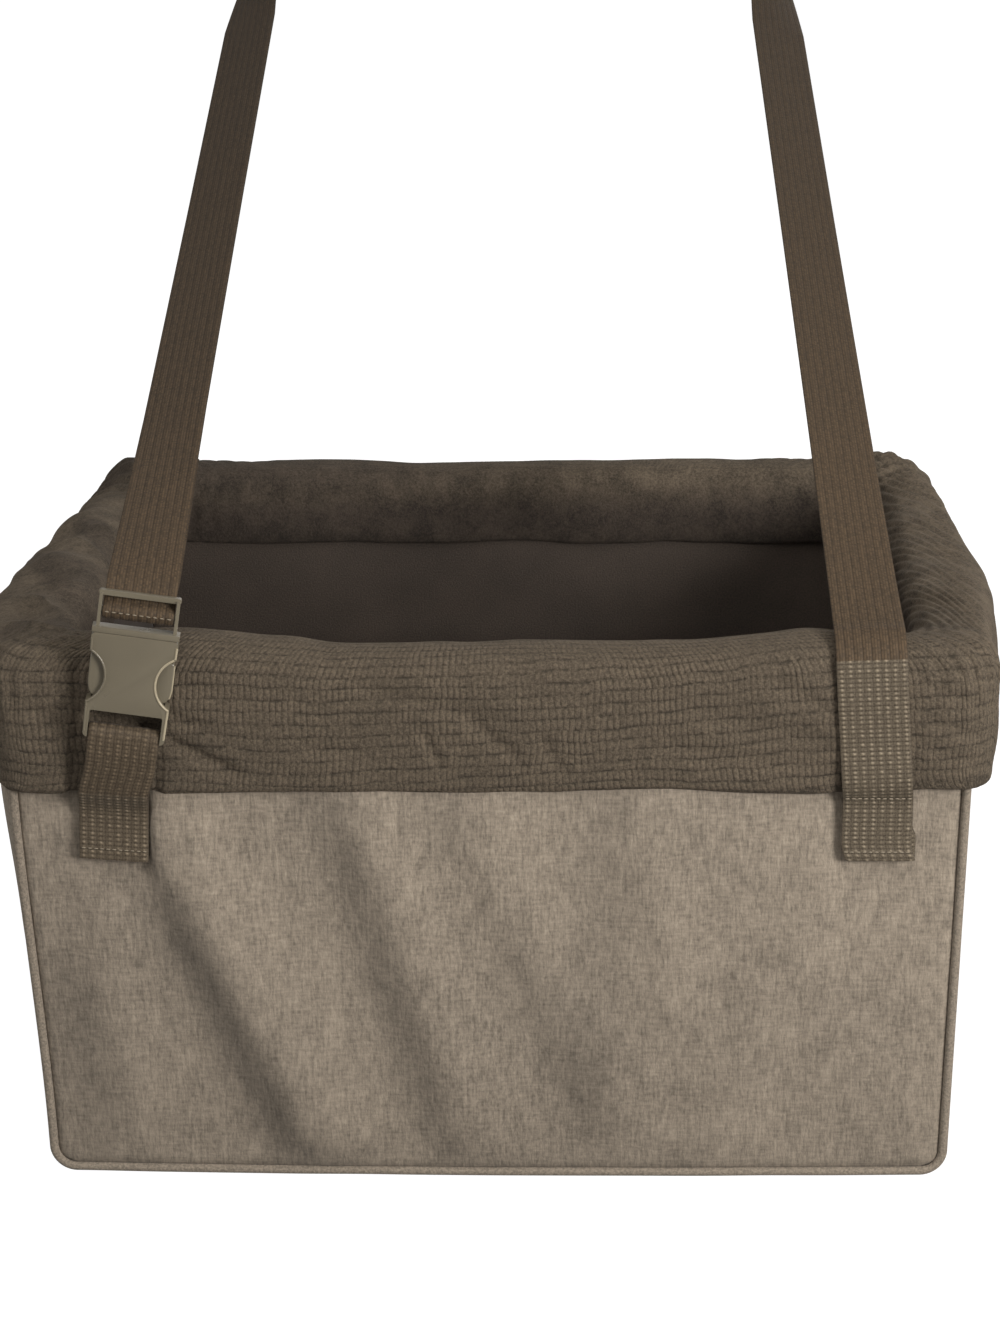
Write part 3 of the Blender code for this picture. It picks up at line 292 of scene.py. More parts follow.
def smooth_path(points, step):
    """A centripetal curve through the points, with where each of its points lies among them."""
    points = [Vector(p) for p in points]
    ends = [2 * points[0] - points[1], *points, 2 * points[-1] - points[-2]]
    path, where = [], []
    for k in range(len(points) - 1):
        near = ends[k : k + 4]
        knots = [0.0]
        for a, b in zip(near, near[1:]):
            knots.append(knots[-1] + max((b - a).length, 1e-6) ** 0.5)
        count = max(2, math.ceil((near[2] - near[1]).length / step))
        for i in range(count):
            path.append(on_curve(near, knots, knots[1] + (knots[2] - knots[1]) * i / count))
            where.append(k + i / count)
    return [*path, points[-1]], [*where, len(points) - 1.0]


# Meshes

def grid_quads(rows, columns, wrap_rows=False, wrap_columns=False):
    """Corner indices of the quads of a grid of points, row after row."""
    i = np.arange(rows if wrap_rows else rows - 1)[:, None]
    j = np.arange(columns if wrap_columns else columns - 1)[None, :]
    k, m = (i + 1) % rows, (j + 1) % columns
    corners = [i * columns + j, i * columns + m, k * columns + m, k * columns + j]
    return np.stack([np.broadcast_to(c, (i.size, j.size)) for c in corners], -1).reshape(-1, 4)


def add_object(name, data):
    thing = bpy.data.objects.new(name, data)
    bpy.context.scene.collection.objects.link(thing)
    return thing


def dress(data, look=None, sharp=None):
    """Gives a mesh its material and smooth shading, with edges that are sharp from an angle."""
    if look:
        data.materials.clear()
        data.materials.append(look)
    data.shade_smooth()
    if sharp is not None:
        data.set_sharp_from_angle(angle=math.radians(sharp))


def add_mesh(name, points, quads, look, maps=None, fields=None, sharp=None):
    """A mesh object at the origin from arrays; each of its maps has a pair for each quad's corner."""
    data = bpy.data.meshes.new(name)
    data.vertices.add(len(points))
    data.vertices.foreach_set("co", np.asarray(points, np.float32).ravel())
    data.loops.add(quads.size)
    data.loops.foreach_set("vertex_index", quads.astype(np.int32).ravel())
    data.polygons.add(len(quads))
    data.polygons.foreach_set("loop_start", np.arange(0, quads.size, 4, dtype=np.int32))
    data.update(calc_edges=True)
    for key, pairs in (maps or {}).items():
        data.uv_layers.new(name=key).data.foreach_set("uv", np.asarray(pairs, np.float32).ravel())
    for key, values in (fields or {}).items():
        held = data.attributes.new(key, "FLOAT", "POINT")
        held.data.foreach_set("value", np.asarray(values, np.float32).ravel())
    dress(data, look, sharp)
    return add_object(name, data)


def outwards(points, quads, maps):
    """The quads and their maps, turned round if the closed surface is inside out."""
    a, b, c, d = (points[quads[:, k]] for k in range(4))
    if (a * np.cross(b, c)).sum() + (a * np.cross(c, d)).sum() > 0:
        return quads, maps
    return quads[:, ::-1], {key: pairs[:, ::-1] for key, pairs in maps.items()}


def cloth_panel(name, points, look, thickness, uv, fields=None, out=1):
    """A thickened sheet over a grid of points that face out of the basket, or into it if out is -1."""
    quads = grid_quads(*points.shape[:2])
    flat = points.reshape(-1, 3)
    a, b, c = (flat[quads[:, k]] for k in range(3))
    middle = np.array([0, 0, WALL_TOP / 2])
    if out * (np.cross(b - a, c - a) * (a - middle)).sum() < 0:
        quads = quads[:, ::-1]
    piece = add_mesh(name, flat, quads, finish(look), {"cloth": uv.reshape(-1, 2)[quads]}, fields)
    wall = piece.modifiers.new("Cloth thickness", "SOLIDIFY")
    wall.thickness = thickness
    wall.offset = -1
    return piece


def settle(piece):
    """The piece with its modifiers worked into a plain mesh, in place of the piece."""
    bpy.context.view_layer.update()
    graph = bpy.context.evaluated_depsgraph_get()
    data = bpy.data.meshes.new_from_object(piece.evaluated_get(graph), depsgraph=graph)
    data.transform(piece.matrix_world)
    made = add_object("settled", data)
    name = piece.name
    bpy.data.objects.remove(piece)
    made.name = data.name = name
    return made


def place(piece, body, slot, *nodes):
    """Hangs a finished piece on its body in place of solids. The slot is not used."""
    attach(piece, body)
    if nodes:
        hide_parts(*nodes)
    return piece


# Shader maths

class Wire:
    """A number on a shader's wire. Python's operators on it add Math nodes."""

    def __init__(self, finish, socket):
        self.finish, self.socket = finish, socket

    def __add__(self, other):
        return self.finish.maths("ADD", self, other)

    def __mul__(self, other):
        return self.finish.maths("MULTIPLY", self, other)

    __radd__, __rmul__ = __add__, __mul__

    def __sub__(self, other):
        return self.finish.maths("SUBTRACT", self, other)

    def __rsub__(self, other):
        return self.finish.maths("SUBTRACT", other, self)

    def __pow__(self, other):
        return self.finish.maths("POWER", self, other)

    def __mod__(self, other):
        return self.finish.maths("MODULO", self, other)

    def __abs__(self):
        return self.finish.maths("ABSOLUTE", self)

    def __floor__(self):
        return self.finish.maths("FLOOR", self)


class Finish:
    """A material that is put together node by node."""

    def __init__(self, name, **fixed):
        self.material = bpy.data.materials.new(name)
        self.material.use_nodes = True
        self.tree = self.material.node_tree
        self.shader = self.tree.nodes["Principled BSDF"]
        for key, value in fixed.items():
            self.shader.inputs[key.replace("_", " ")].default_value = value

    def node(self, kind, values=None, output=0, **settings):
        made = self.tree.nodes.new("ShaderNode" + kind)
        for key, value in settings.items():
            setattr(made, key, value)
        for key, value in (values or {}).items():
            self.feed(made.inputs[key], value)
        return Wire(self, made.outputs[output])

    def feed(self, socket, value):
        if isinstance(value, Wire):
            self.tree.links.new(value.socket, socket)
        else:
            socket.default_value = value

    def maths(self, operation, *values):
        return self.node("Math", dict(enumerate(values)), operation=operation)

    def wave(self, operation, value):
        """The size of a sine or cosine, without its sign."""
        return abs(self.maths(operation, value))

    def mix(self, share, first, second):
        return self.node("Mix", {0: share, 6: first, 7: second}, 2, data_type="RGBA")

    def spread(self, value, low, high):
        """A value from 0 to 1 over the span from low to high."""
        return self.node("MapRange", {0: value, 1: low, 2: high}, clamp=True)

    def cloth(self, across, along):
        """The piece's own cloth coordinates, scaled each way."""
        held = self.node("UVMap", uv_map="cloth")
        return self.node("Mapping", {"Vector": held, "Scale": (across, along, 1)})

    def around(self, scale=1.0):
        """The place on the object, scaled."""
        where = self.node("TexCoord", output=3)
        return self.node("Mapping", {"Vector": where, "Scale": (scale, scale, scale)})

    def parts(self, held):
        """The three numbers of a place."""
        first = self.node("SeparateXYZ", {0: held})
        return [Wire(self, out) for out in first.socket.node.outputs]

    def chance(self, first, second):
        """A number from 0 to 1 for each whole pair."""
        pair = self.node("CombineXYZ", {0: first, 1: second})
        return self.node("TexWhiteNoise", {"Vector": pair}, noise_dimensions="2D")

    def noise(self, where, detail=2.0, roughness=0.5):
        values = {"Vector": where, "Scale": 1.0, "Detail": detail, "Roughness": roughness}
        return self.node("TexNoise", values)

    def field(self, name):
        return self.node("Attribute", output=2, attribute_name=name)

    def show(self, colour=None, roughness=None, bump=None, distance=0.0003):
        """Feeds what changes over the surface, and gives the material."""
        if bump is not None:
            bump = self.node("Bump", {"Height": bump, "Distance": distance, "Strength": 1.0})
        for key, value in (("Base Color", colour), ("Roughness", roughness), ("Normal", bump)):
            if value is not None:
                self.feed(self.shader.inputs[key], value)
        return self.material


def shade(name, share):
    """One of the seat's colours, darker or lighter by a share."""
    base = getattr(chosen("colours"), name)
    return (*(min(1.0, channel * share) for channel in base), 1.0)


MADE = {}


def finish(name):
    """The material of that name, made once."""
    if name not in MADE:
        MADE[name] = hidden(name, *HIDDEN[name]) if name in HIDDEN else MAKERS[name]()
    return MADE[name]


def woven_grey():
    """Melange polyester: uneven upright threads, finer cross threads and pale flecks."""
    cloth = Finish("woven_grey", Roughness=0.85, Sheen_Weight=0.12, Sheen_Roughness=0.5)
    upright, level, fleck, patchy, cloudy = (
        cloth.noise(cloth.cloth(across, along), detail, roughness)
        for across, along, detail, roughness in (
            (640, 110, 3, 0.65), (150, 700, 2, 0.6), (950, 480, 2, 0.6), (120, 60, 3, 0.65), (14, 8, 3, 0.6)))
    threads = upright * 0.48 + level * 0.26 + fleck * 0.26
    tone = cloth.spread(threads * 0.66 + patchy * 0.20 + cloudy * 0.14, 0.40, 0.60)
    # Painted shade: darker along the folds' steep sides and towards the foot, with a painted shadow along the
    # seams
    unshaded = 1.0 - cloth.field("crease") * 0.40
    dark, light = (cloth.mix(unshaded, shade("cover", 0), shade("cover", share)) for share in (0.60, 1.42))
    return cloth.show(cloth.mix(tone, dark, light), tone * -0.12 + 0.9, threads, 0.0007)


def piping_grey():
    cloth = Finish("piping_grey", Roughness=0.85, Sheen_Weight=0.15)
    threads = cloth.noise(cloth.around(900), 3, 0.6)
    tone = cloth.spread(threads, 0.35, 0.65)
    return cloth.show(cloth.mix(tone, shade("cover", 0.62), shade("cover", 1.12)), None, threads, 0.0004)


def plush(name):
    """The start of a plush finish: dull, with a pale sheen."""
    cloth = Finish(name, Roughness=0.95, Sheen_Weight=0.22, Sheen_Roughness=0.6)
    cloth.feed(cloth.shader.inputs["Sheen Tint"], shade("plush", 2.0))
    return cloth


def ribbed_plush():
    """Short pile in broken rows of small cells: dark between them, paler and fuzzy on their tops."""
    cloth = plush("ribbed_plush")

    def patches(scale, detail, roughness, low, high):
        return cloth.spread(cloth.noise(cloth.around(scale), detail, roughness), low, high)

    along, row, _ = cloth.parts(cloth.node("UVMap", uv_map="cells"))
    index = math.floor(row)
    phase = along + cloth.maths("SINE", index * 2.4) * 0.12
    in_cell = cloth.wave("COSINE", phase * math.pi)
    gap = (1.0 - in_cell) ** 2.2
    groove = abs(row - index - 0.5) * 2.0
    each = cloth.chance(math.floor(phase + 0.5), index)
    broken = patches(170, 3, 0.7, 0.40, 0.62)
    worn = cloth.noise(cloth.around(32), 3, 0.6)
    clear = cloth.spread(worn, 0.30, 0.62)
    pale = patches(460, 2, 0.6, 0.52, 0.78)
    blotch = patches(85, 4, 0.65, 0.36, 0.64) - 0.5
    fuzz = cloth.noise(cloth.around(850), 4, 0.8)
    rows = cloth.field("rows")
    line = groove**4.5 * (broken * 0.72 + 0.06) * rows
    slot = gap * (each * 0.34 + clear * 0.34) * (groove**2.0 * 0.55 + 0.45) * rows
    top = (1.0 - line) * (1.0 - slot)
    bead = in_cell * (1.0 - groove**3.0) * clear * rows
    height = top * 0.62 + bead * 0.14 + each * 0.08 + cloth.spread(fuzz, 0.38, 0.62) * 0.62
    height = height + worn * 0.24 + pale * 0.30 - 0.66 + blotch * (1.0 - rows) * 0.50
    # Painted shade: towards the lining's colour at the inner faces' foot, on the rear's left and in the left's
    # hollows
    inner = cloth.field("inner")
    dark, light = (cloth.mix(inner, shade("plush", share), shade("lining", share * 0.75))
                   for share in (0.42, 1.50))
    shown = cloth.mix(cloth.spread(height, 0.0, 0.9), dark, light)
    return cloth.show(shown, None, top * 0.9 + bead * 0.4 + fuzz * 0.9, 0.0008)


def cushion_plush():
    """The same plush where the ribs are only in the pile."""
    cloth = plush("cushion_plush")
    settings = chosen("collar")
    across, along, _ = cloth.parts(cloth.node("TexCoord", output=3))
    rib = cloth.maths("SINE", across * (2 * math.pi / settings.rib))
    wale = cloth.wave("SINE", along * (math.pi / settings.wale))
    fuzz = cloth.noise(cloth.around(1400), 2, 0.7)
    height = cloth.spread(rib * 0.18 + wale * 0.35 + fuzz * 0.5, 0.1, 0.95)
    return cloth.show(cloth.mix(height, shade("plush", 0.46), shade("plush", 1.30)), None, height, 0.0005)


def black_lining():
    """Plain woven lining with a faint sheen and a fine weave."""
    cloth = Finish("black_lining", Roughness=0.7, Sheen_Weight=0.1)
    weave = cloth.noise(cloth.cloth(1200, 1200))
    tone = cloth.spread(weave * 0.6 + cloth.noise(cloth.cloth(22, 22), 3) * 0.4, 0.35, 0.65)
    return cloth.show(cloth.mix(tone, shade("lining", 0.65), shade("lining", 1.35)), None, weave)


def webbing_brown():
    """Webbing: fine lengthwise ribs, and a coarse weave of pale threads where it is sewn."""
    cloth = Finish("webbing_brown", Roughness=0.75, Sheen_Weight=0.06, Sheen_Roughness=0.45)
    across, picks, _ = cloth.parts(cloth.node("UVMap", uv_map="weave"))
    coarse = cloth.field("coarse")
    # Darker and browner towards the top of the straps
    high = cloth.spread(cloth.parts(cloth.node("TexCoord", output=3))[2], 0.30, 0.52)
    rib, pick = (cloth.wave("SINE", place * math.pi) for place in (across, picks))
    strand = cloth.wave("SINE", across * (3 * math.pi))
    each = cloth.chance(math.floor(across), math.floor(picks))
    dash = cloth.chance(math.floor(across * 3.0), math.floor(picks * 2.2))
    fine = cloth.noise(cloth.around(1500), 3, 0.7)
    smooth = rib * 0.12 + strand * dash * 0.50 + fine * 0.60 - 0.19 - high * 0.20
    knot = rib**5.0 * pick**2.5 * (each * 0.85 + 0.15) * (math.floor(picks) % 2.0 * 0.3 + 0.7)
    sewn = knot * 1.3 + fine * 0.95 + strand * 0.08 - (1.0 - pick) ** 2.0 * 0.20 - 0.24
    tone = cloth.spread(smooth * (1.0 - coarse) * 0.62 + sewn * coarse, 0.0, 1.0)
    pale = cloth.mix(coarse, shade("webbing", 2.9), shade("thread", 1.1))
    shown = cloth.mix(tone, shade("webbing", 0.42), pale)
    shown = cloth.mix(high * 0.5 * (1.0 - coarse), shown, shade("webbing", 0.60))
    bump = (rib * 0.45 + strand * 0.2) * (1.0 - coarse) + knot * coarse + fine * 0.4
    return cloth.show(shown, None, bump, 0.0005)


def buckle_plastic():
    """Satin moulded plastic with a very fine grain."""
    plastic = Finish("buckle_plastic", Roughness=0.3, Specular_IOR_Level=0.75)
    grain = plastic.noise(plastic.around(2600))
    cloudy = plastic.noise(plastic.around(60))
    shown = plastic.mix(cloudy, shade("buckle", 0.92), shade("buckle", 1.08))
    return plastic.show(shown, cloudy * 0.10 + 0.24, grain, 0.00006)


def buckle_edge():
    """The same plastic, paler and glossier: a painted highlight along the buckle's right-hand edges."""
    plastic = Finish("buckle_edge", Roughness=0.25)
    return plastic.show(plastic.mix(plastic.noise(plastic.around(300)), shade("buckle", 2), shade("buckle", 3)))


def sewing_thread():
    thread = Finish("sewing_thread", Roughness=0.6, Sheen_Weight=0.2)
    twist = thread.noise(thread.around(2400), 1)
    return thread.show(thread.mix(twist, shade("thread", 0.75), shade("thread", 1.2)), None, twist, 0.0001)


def hidden(name, levels, roughness, noise, shares, distance):
    """A plain material of the frame that the cover hides."""
    plain = Finish(name, Roughness=roughness)
    grain = plain.noise(plain.around(noise[0]), *noise[1:])
    low, high = ((*(linear(level) * share for level in levels), 1.0) for share in shares)
    return plain.show(plain.mix(grain, low, high), None, grain, distance)


MAKERS = {maker.__name__: maker for maker in (
    woven_grey, piping_grey, ribbed_plush, cushion_plush, black_lining, webbing_brown,
    buckle_plastic, buckle_edge, sewing_thread)}
# Levels, roughness, grain, its dark and light shares, and its depth
HIDDEN = {
    "frame_plastic": ((196, 196, 190), 0.45, (80, 3), (0.9, 1.08), 0.00005),
    "connector_plastic": ((60, 60, 60), 0.5, (80, 3), (0.9, 1.08), 0.00005),
    "board_fibre": ((90, 80, 66), 0.9, (400, 4, 0.7), (0.7, 1.25), 0.0002),
}


# Geometry Nodes

def node_tree(name, inputs):
    """A geometry tree with named inputs, its in and out nodes, and each input's identifier."""
    tree = bpy.data.node_groups.new(name, "GeometryNodeTree")
    tree.interface.new_socket("Geometry", in_out="INPUT", socket_type="NodeSocketGeometry")
    keys = {}
    for label, kind in inputs:
        made = tree.interface.new_socket(label, in_out="INPUT", socket_type="NodeSocket" + kind)
        keys[label] = made.identifier
    tree.interface.new_socket("Geometry", in_out="OUTPUT", socket_type="NodeSocketGeometry")
    return tree, tree.nodes.new("NodeGroupInput"), tree.nodes.new("NodeGroupOutput"), keys


def wire_up(tree, *links):
    """Links sockets, each given as (node, name or number, node, name or number)."""
    for start, out, end, into in links:
        tree.links.new(start.outputs[out], end.inputs[into])


def stitch_tree():
    """A thread laid at even steps along a curve."""
    inputs = (("Pitch", "Float"), ("Stitch", "Float"), ("Thread", "Float"), ("Finish", "Material"))
    tree, given, result, keys = node_tree("Row of stitches", inputs)
    points, form, size, scale, turn, lay, real, smooth, paint = (tree.nodes.new(kind) for kind in (
        "GeometryNodeCurveToPoints", "GeometryNodeMeshUVSphere", "GeometryNodeTransform",
        "ShaderNodeCombineXYZ", "FunctionNodeAlignRotationToVector", "GeometryNodeInstanceOnPoints",
        "GeometryNodeRealizeInstances", "GeometryNodeSetShadeSmooth", "GeometryNodeSetMaterial"))
    points.mode = "LENGTH"
    turn.axis = "X"
    for key, value in (("Segments", 6), ("Rings", 5), ("Radius", 0.5)):
        form.inputs[key].default_value = value
    wire_up(tree, (given, "Geometry", points, "Curve"), (given, "Pitch", points, "Length"),
            (given, "Stitch", scale, "X"), (given, "Thread", scale, "Y"), (given, "Thread", scale, "Z"),
            (form, "Mesh", size, "Geometry"), (scale, "Vector", size, "Scale"),
            (points, "Points", lay, "Points"), (size, "Geometry", lay, "Instance"),
            (points, "Tangent", turn, "Vector"), (turn, "Rotation", lay, "Rotation"),
            (lay, "Instances", real, "Geometry"), (real, "Geometry", smooth, "Geometry"),
            (smooth, "Geometry", paint, "Geometry"), (given, "Finish", paint, "Material"),
            (paint, "Geometry", result, "Geometry"))
    return tree, keys


def cord_tree():
    """A round cord along a curve, with closed ends."""
    inputs = (("Radius", "Float"), ("Sides", "Int"), ("Finish", "Material"))
    tree, given, result, keys = node_tree("Cord on a path", inputs)
    circle, skin, real, paint = (tree.nodes.new("GeometryNode" + kind) for kind in (
        "CurvePrimitiveCircle", "CurveToMesh", "RealizeInstances", "SetMaterial"))
    skin.inputs["Fill Caps"].default_value = True
    wire_up(tree, (given, "Geometry", skin, "Curve"), (given, "Radius", circle, "Radius"),
            (given, "Sides", circle, "Resolution"), (circle, "Curve", skin, "Profile Curve"),
            (skin, "Mesh", real, "Geometry"), (real, "Geometry", paint, "Geometry"),
            (given, "Finish", paint, "Material"), (paint, "Geometry", result, "Geometry"))
    return tree, keys


TREES = {}


def along_paths(name, paths, kind, values):
    """A mesh made by one of the trees along lines of points."""
    if kind not in TREES:
        TREES[kind] = {"stitches": stitch_tree, "cord": cord_tree}[kind]()
    tree, keys = TREES[kind]
    curve = bpy.data.curves.new(name, "CURVE")
    curve.dimensions = "3D"
    for path in paths:
        spline = curve.splines.new("POLY")
        spline.points.add(len(path) - 1)
        spline.points.foreach_set("co", np.c_[np.array(path, float), np.ones(len(path))].ravel())
    piece = add_object(name, curve)
    modifier = piece.modifiers.new(tree.name, "NODES")
    modifier.node_group = tree
    for label, value in values.items():
        modifier[keys[label]] = value
    made = settle(piece)
    dress(made.data, sharp=50)
    return made


def stitches(name, paths, thread):
    values = {"Pitch": STITCH_PITCH, "Stitch": STITCH_LENGTH, "Thread": thread,
              "Finish": finish("sewing_thread")}
    return along_paths(name, paths, "stitches", values)


def cord(name, paths, radius, sides, look):
    return along_paths(name, paths, "cord", {"Radius": radius, "Sides": sides, "Finish": finish(look)})


# Cover

# Soft ridges of the front: two ends (x, z) of the crest, its width to the left and right, its height
FRONT_FOLDS = (
    ((-0.145, 0.170), (-0.078, 0.012), 0.0135, 0.0220, 0.0068),
    ((-0.062, 0.186), (-0.010, 0.012), 0.0135, 0.0210, 0.0044),
    ((-0.018, 0.180), (0.052, 0.030), 0.0120, 0.0180, 0.0019),
    ((0.064, 0.186), (0.080, 0.080), 0.0150, 0.0200, 0.0028),
    ((0.142, 0.140), (0.088, 0.014), 0.0150, 0.0200, 0.0022),
    ((-0.176, 0.160), (-0.158, 0.020), 0.0100, 0.0140, 0.0018),
)
# Painted shade along the ridges' steep sides
FOLD_SHADES = (
    ((-0.148, 0.145), (-0.087, 0.008), 0.0120, 0.84),
    ((-0.071, 0.184), (-0.022, 0.010), 0.0110, 0.52),
    ((0.000, 0.130), (0.045, 0.030), 0.0130, 0.30),
    ((-0.186, 0.110), (-0.178, 0.006), 0.0130, 0.50),
    ((-0.023, 0.190), (-0.012, 0.152), 0.0110, 0.40),
    ((0.048, 0.190), (0.041, 0.020), 0.0135, 0.36),
    ((0.100, 0.186), (0.095, 0.140), 0.0090, 0.16),
)


def front_relief(x, z):
    """How far the front stands out: its bow and its folds, fading towards its edges."""
    settings = chosen("cover")
    inside = smooth_step(0.001, 0.02, z) * fall(OUTER_HEM_Z - 0.004, OUTER_HEM_Z + 0.012, z)
    inside = inside * fall(0.178, 0.200, np.abs(x))
    folds = ridges(x, z, FRONT_FOLDS, FOLD_FADE) * settings.fold_share
    wander = 0.0009 * ripple(x / 0.045 + 9, z / 0.075 + 3, 5) + 0.0004 * ripple(x / 0.019, z / 0.030, 6)
    bow = settings.bow * (1 - (x / half_width(z)) ** 2) * fall(OUTER_HEM_Z, WALL_TOP, z)
    patch = fall(0.0158, 0.0215, np.abs(np.abs(x) - PATCH_X))
    patch = patch * smooth_step(PATCH_BOTTOM_Z - 0.02, PATCH_BOTTOM_Z, z)
    return (bow + (wander + folds) * inside) * (1 - patch) + 0.0008 * patch


def corner_reach(z, inset):
    """Half the cover's outline width at a height, drawn in by inset, with its round corners."""
    drop = np.clip(BASE_RADIUS - z, 0, None)
    inner = BASE_RADIUS - inset
    round_part = BASE_RADIUS - np.sqrt(np.clip(inner**2 - drop**2, 0, None))
    return half_width(z) - np.where(z < BASE_RADIUS, round_part, inset)


def tucked(distance):
    """How far cloth is drawn in beside a piped seam."""
    return 0.0019 * fall(0.0, 0.0040, distance)


def cover_panel(name, x, y, z, uv, crease=0.0):
    """A panel of the cover, darkened by a painted shade from 0 to 1."""
    thickness = chosen("cover").thickness
    return cloth_panel(name, np.stack([x, y, z], -1), "woven_grey", thickness, np.stack(uv, -1),
                       {"crease": filled(crease, x)})


def end_panel(name, side, columns=210, count=120):
    """The front or back of the cover."""
    across = np.linspace(-1, 1, columns)[None, :]
    z = filled(np.linspace(SEAM_INSET, WALL_TOP, count)[:, None], across)
    reach = corner_reach(z, SEAM_INSET)
    x = across * reach
    beside, above = reach - np.abs(x), z - SEAM_INSET
    if side < 0:
        relief = front_relief(x, z)
        seam = np.minimum(beside, above)
        # Painted shade along the folds and towards the foot, and a painted shadow along the seams
        foot = 0.36 * fall(0.0, 0.19, z)
        crease = np.clip(ridges(x, z, FOLD_SHADES) + foot + 0.9 * bell(seam, 0.0014), 0, 1)
    else:
        relief, crease = 0.0004 * ripple(x / 0.05, z / 0.05, 8), 0.0
    relief = relief - tucked(beside) - tucked(above)
    lean = corner_lean(np.float64(side * HALF_DEPTH), z, np.sign(x))
    leaning = x + np.sign(x) * lean * np.abs(across) ** 3
    return cover_panel(name, leaning, side * (HALF_DEPTH + relief), z, (x, z), crease)


def side_panel(name, side, columns=140, count=120):
    """A side of the cover, which turns under the basket with the round edge of its base."""
    reach = HALF_DEPTH + PIPING_OUT - SEAM_INSET
    turns = np.radians(np.linspace(0, 84, 8))
    low_x = half_width(0) - BASE_RADIUS + BASE_RADIUS * np.sin(turns)
    low_z = BASE_RADIUS * (1 - np.cos(turns))
    z = np.concatenate([low_z, np.linspace(BASE_RADIUS, WALL_TOP, count)])
    x = np.concatenate([low_x, half_width(z[len(low_z):])])
    up = np.concatenate([[0], np.cumsum(np.hypot(np.diff(x), np.diff(z)))])
    y = filled(np.linspace(-reach, reach, columns)[None, :], z[:, None])
    x, z, up = (filled(column[:, None], y) for column in (x, z, up))
    swell = side_swell(y, z, side)
    uneven = 0.0008 * ripple(y / 0.05, z / 0.05, 11 + side) * smooth_step(0, 0.002, swell)
    swell = swell + uneven + corner_lean(y, z, side)
    out = x + swell - tucked(reach - np.abs(y)) * (z > 0.004)
    return cover_panel(name, side * out, y, z, (y, up))


def base_panel(name):
    half_x, half_y = BASE_PANEL_HALF
    x, y = np.meshgrid(np.linspace(-half_x, half_x, 60), np.linspace(-half_y, half_y, 50))
    return cover_panel(name, x, y, np.zeros_like(x), (x, y))


def piping_path(side):
    """Down one edge of the front or back, along its foot and up the other edge."""
    inset = PIPING_RADIUS + 0.00015
    z = np.concatenate([np.linspace(WALL_TOP - 0.002, BASE_RADIUS, 90),
                        BASE_RADIUS - (BASE_RADIUS - inset) * np.sin(np.radians(np.linspace(6, 90, 12)))])
    x = corner_reach(z, inset)
    foot = np.linspace(x[-1], -x[-1], 120)[1:-1]
    x, z = np.concatenate([x, foot, -x[::-1]]), np.concatenate([z, np.full(foot.shape, z[-1]), z[::-1]])
    out = HALF_DEPTH + PIPING_OUT - PIPING_RADIUS + 0.00025 * ripple(x / 0.03, z / 0.03 + 5, 21)
    if side < 0:
        out = out + front_relief(x * 0.985, z) * 0.9
    lean = corner_lean(np.float64(side * HALF_DEPTH), z, np.sign(x))
    return np.stack([x + np.sign(x) * lean, side * out, z], -1)


class BOOSTER_OT_cover(bpy.types.Operator):
    """Makes the woven cover's five panels and their piping"""

    bl_idname = "booster.cover"
    bl_label = "Cover"

    def execute(self, context):
        end, wall, base = (0.404, 0.235), (0.294, 0.245), (0.376, 0.293)
        made = ((end_panel("cover_front", -1), "front_panel", end),
                (end_panel("cover_back", 1), "back_panel", end),
                (side_panel("cover_left", -1), "left_panel", wall),
                (side_panel("cover_right", 1), "right_panel", wall),
                (base_panel("cover_base"), "bottom_panel", base))
        for piece, node, flat in made:
            place(piece, "basket", "woven_grey", node)
        for side, name in ((-1, "front"), (1, "back")):
            made = cord(f"piping_{name}", [piping_path(side)], PIPING_RADIUS, 14, "piping_grey")
            place(made, "basket", "piping_grey", f"{name}_piping")
        return {"FINISHED"}


# Lining

class BOOSTER_OT_lining(bpy.types.Operator):
    """Makes the dark lining's walls and floor"""

    bl_idname = "booster.lining"
    bl_label = "Lining"

    def execute(self, context):
        inner_y = LINING_Y - LINING_THICKNESS
        z = np.linspace(LINING_FLOOR_Z, WALL_TOP - 0.001, 60)[:, None]
        for side, name in ((-1, "front"), (1, "back")):
            across = np.linspace(-1, 1, 110)[None, :] * (lining_x(z) - 0.0003)
            height = filled(z, across)
            depth = side * (inner_y - self.slack(across, height, 31 + side))
            self.add(name, (across, depth, height), (across, height))
        for side, name in ((-1, "left"), (1, "right")):
            across = filled(np.linspace(-inner_y + 0.0005, inner_y - 0.0005, 80)[None, :], z)
            height = filled(z, across)
            out = side * (lining_x(height) - LINING_THICKNESS - self.slack(across, height, 35 + side))
            self.add(name, (out, across, height), (across, height))
        half_x, half_y = LINING_FLOOR_HALF
        x, y = np.meshgrid(np.linspace(-half_x, half_x, 50), np.linspace(-half_y, half_y, 40))
        self.add("floor", (x, y, np.full_like(x, LINING_FLOOR_Z)), (x, y))
        return {"FINISHED"}

    def slack(self, across, height, seed):
        """How far the lining hangs free of the frame."""
        wave = 0.5 + 0.5 * ripple(across / 0.045, height / 0.09, seed)
        inside = smooth_step(LINING_FLOOR_Z, 0.04, height) * fall(0.16, 0.175, height)
        return 0.0016 * wave * inside

    def add(self, name, points, uv):
        piece = cloth_panel(f"inner_{name}", np.stack(points, -1), "black_lining", LINING_THICKNESS * 0.8,
                            np.stack(uv, -1), out=-1)
        place(piece, "basket", "black_lining", f"lining_{name}")


# Collar

